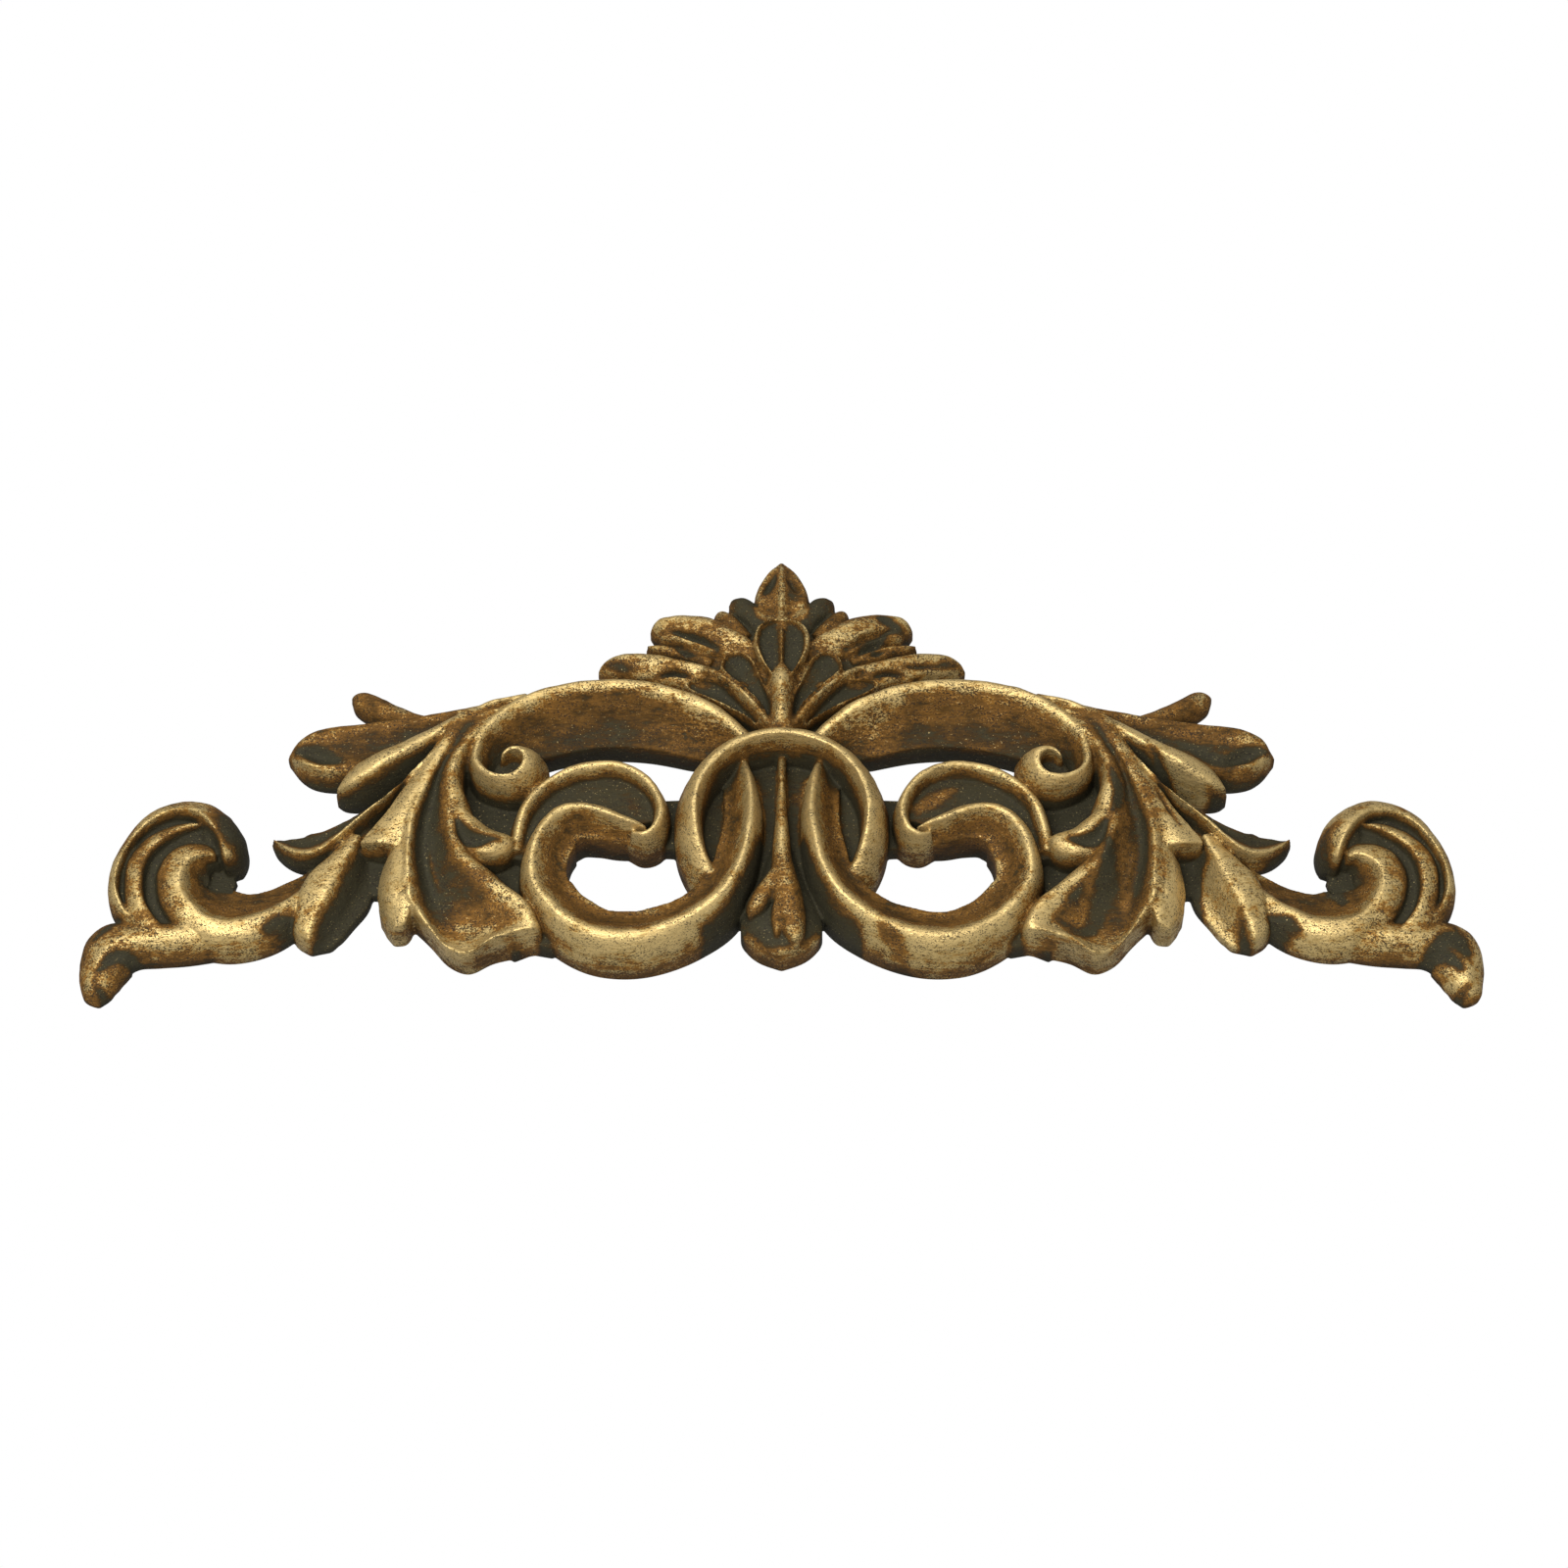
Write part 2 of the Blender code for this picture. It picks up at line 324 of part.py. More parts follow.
# Cuts of a gouge on the left half, as (half-width, depth, places (x, z) that it runs through). A depth
# below 0 leaves a raised lip.
CUTS = {
    "leaf_2_slot": (2.2, 5, [(-50, 89), (-42, 86), (-34, 82), (-26, 76)]),
    "leaf_2_brown": (1.5, 1, [(-51, 85), (-45, 83), (-39, 80)]),
    "leaf_2_tip": (1.8, .3, [(-54, 89), (-48, 88)]),
    "leaf_3_slot": (1.7, 4, [(-46, 80), (-41, 77), (-36, 75)]),
    "leaf_4_line": (.9, 1.4, [(-67, 67), (-60, 65), (-52, 65)]),
    "leaf_4_slot": (1.9, 5, [(-54, 65), (-46, 66), (-38, 63)]),
    "leaf_4_tip": (3.3, .3, [(-76, 73), (-71, 73), (-65, 69)]),
    "leaf_1_groove": (1.6, 2.4, [(-21, 97), (-16, 92), (-13, 88)]),
    "top_leaf_hollow": (2.3, 2, [(-2, 118), (-5, 111), (-9, 105)]),
    "top_leaf_base": (4, -1, [(-11, 98), (-6, 93), (1, 90)]),
    "pocket": (4.5, 4.6, [(-135, -13), (-131, -20), (-126, -22), (-119, -21)]),
    "great_groove": (3.4, .7, [(-144, 8), (-147, -7), (-149, -24), (-144, -48)]),
    "great_streak": (1.3, -.8, [(-147, -23), (-145, -32), (-142, -42)]),
    "great_cut": (.9, 1.8, [(-152, -42), (-160, -47)]),
    "leaf_b_pocket": (5.2, 2.6, [(-206, 29), (-197, 27), (-187, 23)]),
    "leaf_b_lip": (1.7, -1.6, [(-208, 31), (-206, 25), (-198, 21), (-187, 20)]),
    "wedge_slot": (1.6, 2.5, [(-156, 10), (-164, -2), (-173, -12)]),
    "root_line": (.8, 1.2, [(-132, 37), (-143, 26), (-152, 14)]),
    "tail_hollow": (3.4, 1.2, [(-282, -76), (-274, -69), (-262, -71)]),
    "tail_end": (3, .3, [(-283, -80), (-278, -86), (-273, -85)]),
    "tail_top": (2.6, .2, [(-285, -62), (-275, -52)]),
    "stalk_dark": (5, .4, [(-214, -59), (-208, -56), (-202, -53)]),
    "lip_edge": (1.4, -.8, [(-101, -64), (-109, -62), (-119, -65), (-128, -71), (-141, -65)]),
}

# Round knobs: (x, z, half-width, half-height, rise, share of the rise where the dome starts).
KNOBS = {
    "snail_floor": (-112, 12.5, 9, 8, 23, .9),
    "volute_end": (-236, -14, 9, 9, 20, .35),
}
RING_BED = (*RING_CENTRE, RING_RADIUS, RING_RADIUS - 4, RING_FLOOR, .9)

GILT = (0.52, 0.34, 0.12, 1.0)
GILT_ROUGHNESS = 0.42
GILT_METALLIC = 0.8


def clear_scene():
    for obj in list(bpy.data.objects):
        bpy.data.objects.remove(obj)


def smooth_through(rows, places):
    """A Catmull-Rom curve through the rows, read at places, which count the rows from 0."""
    rows = np.asarray(rows, float)
    padded = np.vstack([2 * rows[0] - rows[1], rows, 2 * rows[-1] - rows[-2]])
    first = np.clip(np.floor(places).astype(int), 0, len(rows) - 2)
    t = (places - first)[:, None]
    a, b, c, d = (padded[first + k] for k in range(4))
    return 0.5 * (2 * b + (c - a) * t + (2 * a - 5 * b + 4 * c - d) * t**2 + (3 * b - a - 3 * c + d) * t**3)


def even_places(rows, step):
    """Places along the rows, about a step apart."""
    rows = np.asarray(rows, float)
    lengths = np.linalg.norm(np.diff(rows[:, :2], axis=0), axis=1)
    ends = np.concatenate([[0], np.cumsum(lengths)])
    count = max(4, math.ceil(ends[-1] / step))
    return np.interp(np.linspace(0, ends[-1], count + 1), ends, np.arange(len(rows)))


def section_at(section, across):
    """The share of the rise at each place across."""
    places = np.linspace(0, len(section) - 1, 20 * len(section))
    curve = smooth_through(section, places)
    return np.interp(across, curve[:, 0], curve[:, 1])


def band_net(section, tip, stations):
    """Points (x, z, rise) of a band's front. Over its last tip millimetres the rim wraps round the end."""
    rows = smooth_through(stations, even_places(stations, STATION_STEP))
    line = rows[:, :2]
    along = np.gradient(line, axis=0)
    along /= np.linalg.norm(along, axis=1)[:, None]
    left = np.stack([-along[:, 1], along[:, 0]], axis=1)
    across = np.linspace(-1, 1, ACROSS + 1)
    reach = np.where(across < 0, -across * rows[:, 2:3], -across * rows[:, 3:4])
    place = line[:, None, :] + left[:, None, :] * reach[:, :, None]
    to_end = np.concatenate([np.cumsum(np.linalg.norm(np.diff(line, axis=0), axis=1)[::-1])[::-1], [0]])
    into_tip = np.clip(1 - to_end / max(tip, 1e-6), 0, 1)[:, None]
    outward = np.sqrt(across**2 + (1 - across**2) * into_tip**2)
    to_right = 0.5 + 0.5 * across / np.maximum(outward, 1e-6)
    share = to_right * section_at(section, outward) + (1 - to_right) * section_at(section, -outward)
    rise = rows[:, 4:5] * share
    return np.concatenate([place, rise[:, :, None]], axis=2)


def patch_net(rows):
    """Points of a front that passes through a net of drawn points."""
    rows = np.asarray(rows, float)
    middle = rows[:, rows.shape[1] // 2]
    down = smooth_through(rows.reshape(len(rows), -1), even_places(middle, STATION_STEP))
    down = down.reshape(len(down), -1, 3)
    places = np.linspace(0, rows.shape[1] - 1, ACROSS + 1)
    return np.stack([smooth_through(line, places) for line in down])


def gouge_cut(half_width, depth, places):
    """Stations (x, z, half-width, depth) of one cut, which swells from its ends to its middle."""
    line = smooth_through(places, even_places(places, GOUGE_STEP))
    swell = np.sin(np.linspace(0, math.pi, len(line)))
    return np.column_stack([line, half_width * (CUT_ENDS + (1 - CUT_ENDS) * swell), depth * swell])


def gouged(net, cuts):
    """The net's points cut down along cuts of a gouge."""
    points = net.reshape(-1, 3).copy()
    for cut in cuts:
        line = gouge_cut(*cut)
        reach = line[:, 2].max()
        low, high = line[:, :2].min(axis=0) - reach, line[:, :2].max(axis=0) + reach
        near = np.flatnonzero(np.all((points[:, :2] > low) & (points[:, :2] < high), axis=1))
        if not len(near):
            continue
        away = np.linalg.norm(points[near, None, :2] - line[None, :, :2], axis=2)
        away /= np.maximum(line[:, 2], 0.1)
        closest = away.argmin(axis=1)
        bite = (1 - np.clip(away.min(axis=1), 0, 1) ** 2) ** 2
        lowest = np.minimum(points[near, 2], LEAST_RISE)
        points[near, 2] = np.maximum(points[near, 2] - bite * line[closest, 3], lowest)
    return points.reshape(net.shape)


def add_relief(bm, net, side):
    """Stands a net of front points on the wall as a closed body. side is 1 as drawn and -1 mirrored."""
    front = [[bm.verts.new(Vector((side * x, -rise, z)) * MM) for x, z, rise in line] for line in net]
    back = [[bm.verts.new(Vector((side * x, BEHIND_WALL, z)) * MM) for x, z, _ in line] for line in net]
    faces = []
    for sheet in (front, back):
        for one, two in zip(sheet, sheet[1:]):
            faces += [bm.faces.new((one[i], one[i + 1], two[i + 1], two[i])) for i in range(len(one) - 1)]
    edges = [(front[0], back[0]), (front[-1], back[-1])]
    edges += [([line[k] for line in front], [line[k] for line in back]) for k in (0, -1)]
    for one, two in edges:
        faces += [bm.faces.new((one[i], one[i + 1], two[i + 1], two[i])) for i in range(len(one) - 1)]
    bmesh.ops.recalc_face_normals(bm, faces=faces)


def knob_net(x, z, half_width, half_height, rise, shoulder):
    """Rings of points for a round knob: an upright wall, then a dome."""
    tilts = np.linspace(0, math.pi / 2, 7)[:-1]
    rings = [(1.0, -BEHIND_WALL)]
    rings += [(math.cos(t), rise * (shoulder + (1 - shoulder) * math.sin(t))) for t in tilts]
    turns = np.linspace(0, 2 * math.pi, 25)[:-1]
    circle = [(half_width * math.cos(turn), half_height * math.sin(turn)) for turn in turns]
    return [[(x + r * u, z + r * v, y) for u, v in circle] for r, y in rings]


def add_knob(bm, knob, side):
    rings = knob_net(*knob)
    loops = [[bm.verts.new(Vector((side * x, -rise, z)) * MM) for x, z, rise in ring] for ring in rings]
    x, z, _, _, rise, _ = knob
    top = bm.verts.new(Vector((side * x, -rise, z)) * MM)
    faces = [bm.faces.new(loops[0])]
    for one, two in zip(loops, loops[1:]):
        for i in range(len(one)):
            j = (i + 1) % len(one)
            faces.append(bm.faces.new((one[i], one[j], two[j], two[i])))
    for i in range(len(loops[-1])):
        faces.append(bm.faces.new((loops[-1][i], loops[-1][(i + 1) % len(loops[-1])], top)))
    bmesh.ops.recalc_face_normals(bm, faces=faces)


def ring_stations():
    """The horseshoe ring in the middle, from its right leg over the top to its left leg."""
    stations = []
    for degrees in range(-46, 227, 8):
        turn = math.radians(degrees)
        from_top = abs(degrees - 90) / 136
        rise = RING_RISE - 20 * max(0.0, from_top - 0.68) / 0.32
        x = RING_CENTRE[0] + RING_RADIUS * math.cos(turn)
        z = RING_CENTRE[1] + RING_RADIUS * math.sin(turn)
        stations.append((x, z, 3.4, 9, rise))
    return stations


def carve():
    """Every form of the headpiece, each a closed body that overlaps its neighbours."""
    bm = bmesh.new()
    left = list(CUTS.values())
    across = [(*cut, [(-x, z) for x, z in places]) for *cut, places in left]
    nets = [band_net(*band) for band in SIDE_BANDS.values()]
    nets += [patch_net(GREAT_LOBE), patch_net(WEDGE)]
    for side in (1, -1):
        for net in nets:
            add_relief(bm, gouged(net, left), side)
        for knob in KNOBS.values():
            add_knob(bm, knob, side)
    for band in MIDDLE_BANDS.values():
        add_relief(bm, gouged(band_net(*band), left + across), 1)
    add_relief(bm, band_net(RING, 0, ring_stations()), 1)
    add_knob(bm, RING_BED, 1)
    return bm


def gilt_material():
    material = bpy.data.materials.new("worn_gilding")
    material.use_nodes = True
    shader = material.node_tree.nodes["Principled BSDF"]
    shader.inputs["Base Color"].default_value = GILT
    shader.inputs["Roughness"].default_value = GILT_ROUGHNESS
    shader.inputs["Metallic"].default_value = GILT_METALLIC
    return material


def add_wall_cutter():
    """The space behind the wall plane, which the back is cut flat against."""
    bm = bmesh.new()
    bmesh.ops.create_cube(bm, size=1.0, matrix=Matrix.Diagonal((1.0, 0.1, 1.0, 1.0)))
    mesh = bpy.data.meshes.new("wall")
    bm.to_mesh(mesh)
    bm.free()
    cutter = bpy.data.objects.new("wall", mesh)
    cutter.location = (0, 0.05, 0)
    cutter.hide_render = True
    cutter.display_type = "WIRE"
    bpy.context.scene.collection.objects.link(cutter)
    return cutter


def evaluated_faces(obj):
    bpy.context.view_layer.update()
    evaluated = obj.evaluated_get(bpy.context.evaluated_depsgraph_get())
    mesh = evaluated.to_mesh()
    mesh.calc_loop_triangles()
    count = len(mesh.loop_triangles)
    evaluated.to_mesh_clear()
    return count


def build_headpiece():
    bm = carve()
    mesh = bpy.data.meshes.new("headpiece")
    bm.to_mesh(mesh)
    bm.free()
    mesh.materials.append(gilt_material())
    headpiece = bpy.data.objects.new("headpiece", mesh)
    bpy.context.scene.collection.objects.link(headpiece)
    fuse = headpiece.modifiers.new("fuse", "REMESH")
    fuse.mode = "VOXEL"
    fuse.voxel_size = VOXEL * MM
    fuse.use_smooth_shade = True
    soften = headpiece.modifiers.new("soften", "SMOOTH")
    soften.factor = 0.5
    soften.iterations = 2
    found = evaluated_faces(headpiece)
    thin = headpiece.modifiers.new("thin", "DECIMATE")
    thin.ratio = TRIANGLES / found
    cut = headpiece.modifiers.new("flat_back", "BOOLEAN")
    cut.operation = "DIFFERENCE"
    cut.solver = "EXACT"
    cut.object = add_wall_cutter()
    return headpiece


clear_scene()
build_headpiece()
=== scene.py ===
"""Looks of the carved headpiece: the forms of its CAD solid, carved finer, under worn gilding.

It hangs on a wall. X runs along it, Z is up, and the wall is the plane Y = 0, with the carving on the
-Y side. Plan sizes below are millimetres: x from the middle, z up from the mount, rise out from the wall.
"""

import math

import bmesh
import bpy
import numpy as np
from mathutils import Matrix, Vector, noise


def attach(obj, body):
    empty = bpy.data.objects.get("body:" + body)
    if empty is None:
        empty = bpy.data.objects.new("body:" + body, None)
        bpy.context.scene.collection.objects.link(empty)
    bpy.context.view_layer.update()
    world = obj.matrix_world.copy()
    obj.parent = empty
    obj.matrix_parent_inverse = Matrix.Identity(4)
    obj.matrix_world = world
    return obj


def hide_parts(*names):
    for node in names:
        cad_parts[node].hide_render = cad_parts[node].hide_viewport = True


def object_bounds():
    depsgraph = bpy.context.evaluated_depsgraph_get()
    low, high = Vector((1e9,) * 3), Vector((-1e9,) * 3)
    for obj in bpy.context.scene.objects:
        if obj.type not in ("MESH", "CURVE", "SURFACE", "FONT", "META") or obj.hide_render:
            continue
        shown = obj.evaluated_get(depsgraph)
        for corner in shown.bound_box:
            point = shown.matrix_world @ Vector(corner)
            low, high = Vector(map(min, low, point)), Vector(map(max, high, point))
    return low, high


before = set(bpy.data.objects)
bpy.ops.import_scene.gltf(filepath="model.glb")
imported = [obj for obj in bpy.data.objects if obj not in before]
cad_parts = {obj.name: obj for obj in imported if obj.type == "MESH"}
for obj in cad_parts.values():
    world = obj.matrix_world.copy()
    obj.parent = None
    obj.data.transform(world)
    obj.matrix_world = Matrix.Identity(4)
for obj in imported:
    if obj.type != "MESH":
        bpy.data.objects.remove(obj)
cad_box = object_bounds()

MM = 0.001

# The photograph's camera, in metres and degrees.
CAMERA_TARGET = (0.001, 0.0, 0.020)
CAMERA_DISTANCE = 1.8
CAMERA_BELOW = 30.0
LENS_MM = 97.2
FLOOR_Z = -1.7

# Studio light: the world's share, and soft lamps as (name, place, target, size, watts), in metres.
WORLD_LIGHT = 0.42
LAMPS = [
    ("key", (-0.35, -1.7, 0.95), (0, 0, 0), (1.2, 0.8), 9),
    ("front", (-0.5, -1.75, -0.55), (0, 0, 0), (1.1, 0.8), 31),
    ("low_fill", (0.4, -1.3, -1.2), (0, 0, 0), (1.2, 0.8), 3),
]

# Colours of the worn gilding by how much gold is left: slate paint, brown wash, orange clay, leaf, and
# burnished leaf.
LAYERS = [
    (0.0, (.038, .034, .019)), (0.22, (.042, .034, .016)), (0.32, (.050, .027, .008)),
    (0.42, (.104, .051, .011)), (0.54, (.172, .082, .018)), (0.62, (.260, .122, .021)),
    (0.70, (.36, .20, .05)), (0.80, (.45, .30, .10)), (1.0, (.66, .48, .20)),
]
METAL = [(0.45, (0, 0, 0)), (0.66, (.25, .25, .25)), (0.84, (.75, .75, .75))]
# How rare dark specks are by how much gold is left.
SPECKS = [
    (0.45, (.60, .60, .60)), (0.64, (.51, .51, .51)), (0.82, (.54, .54, .54)), (1.0, (.585, .585, .585)),
]
SPECK = (.022, .017, .012)
FLECK = (.55, .41, .18)
WOOD = [(0.3, (.16, .10, .06)), (0.7, (.26, .17, .10))]
DARK = (.030, .024, .018)

# How finely the carving is made: counts of places across a form and of triangles, the rest in millimetres.
ACROSS = 36
TRIANGLES = 190000
VOXEL = 0.6
STATION_STEP = 1.0
GOUGE_STEP = 0.7
# How far each form reaches behind the wall before it is cut flat, and the least rise that a cut leaves.
BEHIND_WALL = 5.0
LEAST_RISE = 4.0
# The share of its size that a cut keeps at its ends, and how sharply its paint stops at its rim.
CUT_ENDS = 0.35
PAINT_EDGE = 2.5

# Hand work in the surface, in millimetres: (reach, depth).
HAND_WORK = [(9.0, .35), (3.5, .18)]

RING_CENTRE = (0.0, -11.0)
RING_RADIUS = 36.0
RING_RISE = 36.0
RING_FLOOR = 13.0
# The ring's two ends in degrees, its widths each side, the share of the way down where its legs start to
# sink, and by how much.
RING_ENDS = (-46, 226)
RING_WIDTHS = (3.4, 9)
RING_SINKS = 0.68
RING_SINK = 20.0

# Cross-sections: (across, share of the crest's rise, leaf), from the left edge at -1 to the right edge at 1.
# leaf is how much gold is left: 1 is gold, 0.5 is the brown wash, 0 is the slate paint of the hollows.
# The cove's leaf falls towards its left edge, the lower one in the arch: the brown wash, darkened further
# there as painted shade, darker towards the bottom of the cove.
COVE = [
    (-1, .42, .2), (-.75, .49, .33), (-.5, .62, .46), (-.28, .81, .53), (-.13, .955, .7), (0, 1, 1),
    (.3, .97, .85), (.7, .8, .66), (1, .5, .55),
]
SCROLL = [
    (-1, .56, .42), (-.7, .62, .47), (-.4, .78, .53), (-.14, .965, .8), (0, 1, 1), (.2, .98, .92),
    (.5, .88, .85), (.8, .66, .76), (1, .35, .66),
]
RING = [
    (-1, .45, .1), (-.75, .66, .22), (-.42, .89, .5), (-.14, .985, .88), (0, 1, 1), (.14, .985, .92),
    (.4, .91, .84), (.7, .76, .76), (1, .46, .6),
]
RIM = [(-1, .72, .3), (-.5, .93, .65), (0, 1, .95), (.5, .92, .75), (1, .6, .6)]
PAINTED = [(-1, 1, .05), (1, 1, .05)]
DEEP = [(-1, 1, .3), (1, 1, .3)]
SHADE_FLAT = [(-1, .9, .15), (0, 1, .12), (1, .8, .15)]
GRANULAR = [
    (-1, .8, .3), (-.6, .95, .4), (-.3, 1.3, .5), (0, 1.6, .5), (.3, 1.3, .5), (.6, .95, .4), (1, .8, .3),
]
WORN_FLOOR = [(-1, .96, .2), (0, 1, .22), (1, .98, .25)]
TONGUE = [
    (-1, .5, .12), (-.85, .62, .1), (-.6, .74, .05), (-.3, .8, 0), (0, .82, 0), (.3, .8, 0),
    (.6, .74, .05), (.85, .62, .1), (1, .5, .12),
]
HUSK = [
    (-1, .8, .3), (-.85, .88, .45), (-.5, .97, .53), (0, 1, .56), (.5, .97, .55), (.85, .88, .48),
    (1, .8, .3),
]
PETAL = [
    (-1, .8, .35), (-.93, .95, .78), (-.86, .92, .55), (-.76, .8, .02), (-.5, .77, -.05),
    (-.16, .79, -.03), (-.08, .86, .4), (0, .94, .66), (.08, .86, .4), (.16, .79, -.03), (.5, .77, -.05),
    (.76, .8, .02), (.86, .92, .55), (.93, .95, .78), (1, .8, .35),
]
DISH = [
    (-1, .7, .3), (-.9, .94, .8), (-.8, .9, .5), (-.66, .78, .12), (-.3, .72, .16), (0, .71, .05),
    (.3, .72, -.05), (.66, .78, .02), (.8, .9, .5), (.9, .94, .78), (1, .7, .3),
]
PUFF = [
    (-1, .6, .6), (-.8, .86, .8), (-.4, .98, .85), (0, 1, .75), (.4, .98, .85), (.8, .86, .85),
    (1, .6, .6),
]
ROUND_DARK = [
    (-1, .5, .4), (-.8, .8, .35), (-.4, .94, .12), (0, 1, .05), (.4, .97, .04), (.8, .82, .04),
    (1, .5, .04),
]
SHADE = [(-1, .5, .4), (-.5, .9, .5), (0, 1, .55), (.5, .9, .5), (1, .5, .4)]
BROWN = [
    (-1, .35, .35), (-.8, .65, .43), (-.5, .87, .48), (0, 1, .51), (.5, .87, .48), (.8, .65, .43),
    (1, .35, .36),
]
LEAF = [
    (-1, .6, .45), (-.85, .84, .6), (-.5, .82, .5), (-.2, .9, .5), (-.06, 1, .72), (.06, 1, .72),
    (.2, .9, .4), (.5, .82, .25), (.85, .84, .45), (1, .6, .5),
]
LEAFLET = [
    (-1, .5, .45), (-.8, .74, .75), (-.45, .88, .65), (-.1, .94, .6), (.2, .98, .75), (.5, 1, .85),
    (.8, .86, .65), (1, .5, .4),
]
ROUND = [
    (-1, .35, .45), (-.8, .65, .6), (-.5, .87, .75), (0, 1, .85), (.5, .87, .72), (.8, .65, .6),
    (1, .35, .45),
]
TRUNK = [
    (-1, .5, .5), (-.7, .78, .6), (-.35, .95, .66), (0, 1, .7), (.35, .95, .66), (.7, .78, .6),
    (1, .5, .5),
]
CUPPED = [
    (-1, .25, .1), (-.9, .5, .45), (-.78, .82, .6), (-.66, .88, .7), (-.5, .84, .5), (-.3, .8, .4),
    (0, .84, .42), (.3, .92, .48), (.6, .97, .5), (.85, .88, .42), (1, .55, .38),
]
ROLL = [
    (-1, .3, 0), (-.7, .62, .02), (-.42, .86, .2), (-.2, .97, .9), (0, 1, 1), (.4, .95, .95),
    (.75, .8, .8), (1, .6, .5),
]
BLADE = [
    (-1, .4, 0), (-.5, .7, .1), (-.15, .95, .6), (0, 1, .95), (.12, .93, .8), (.3, .78, .25),
    (.6, .66, .08), (.85, .66, .22), (1, .5, .35),
]
HANGING = [
    (-1, .25, 0), (-.6, .4, 0), (-.25, .78, .15), (0, 1, .85), (.5, .96, .95), (.85, .82, .85),
    (1, .5, .6),
]
FACET = [(-1, 1, .8), (-.5, 1, .95), (0, .97, 1), (.6, .85, .95), (1, .55, .8)]
STALK = [
    (-1, .3, .75), (-.85, .62, .85), (-.6, .86, .9), (-.3, .96, .92), (0, 1, 1), (.12, .9, .85),
    (.3, .68, .62), (.6, .48, .46), (.8, .4, .4), (1, .36, .4),
]
BULGE = [
    (-1, .3, .4), (-.88, .58, .5), (-.65, .8, .58), (-.35, .93, .66), (-.1, .99, .85), (0, 1, .95),
    (.5, .88, .5), (1, .7, .05),
]
INNER = [
    (-1, .66, .15), (-.88, .8, .6), (-.62, .92, .78), (-.3, .98, .85), (-.08, 1, .95), (0, 1, .95),
    (.5, .9, .5), (1, .7, .2),
]
SAW = [
    (-1, .74, .1), (-.86, .86, .55), (-.5, .96, .8), (-.2, 1, .82), (0, .98, .6), (.45, .86, .3),
    (1, .66, 0),
]

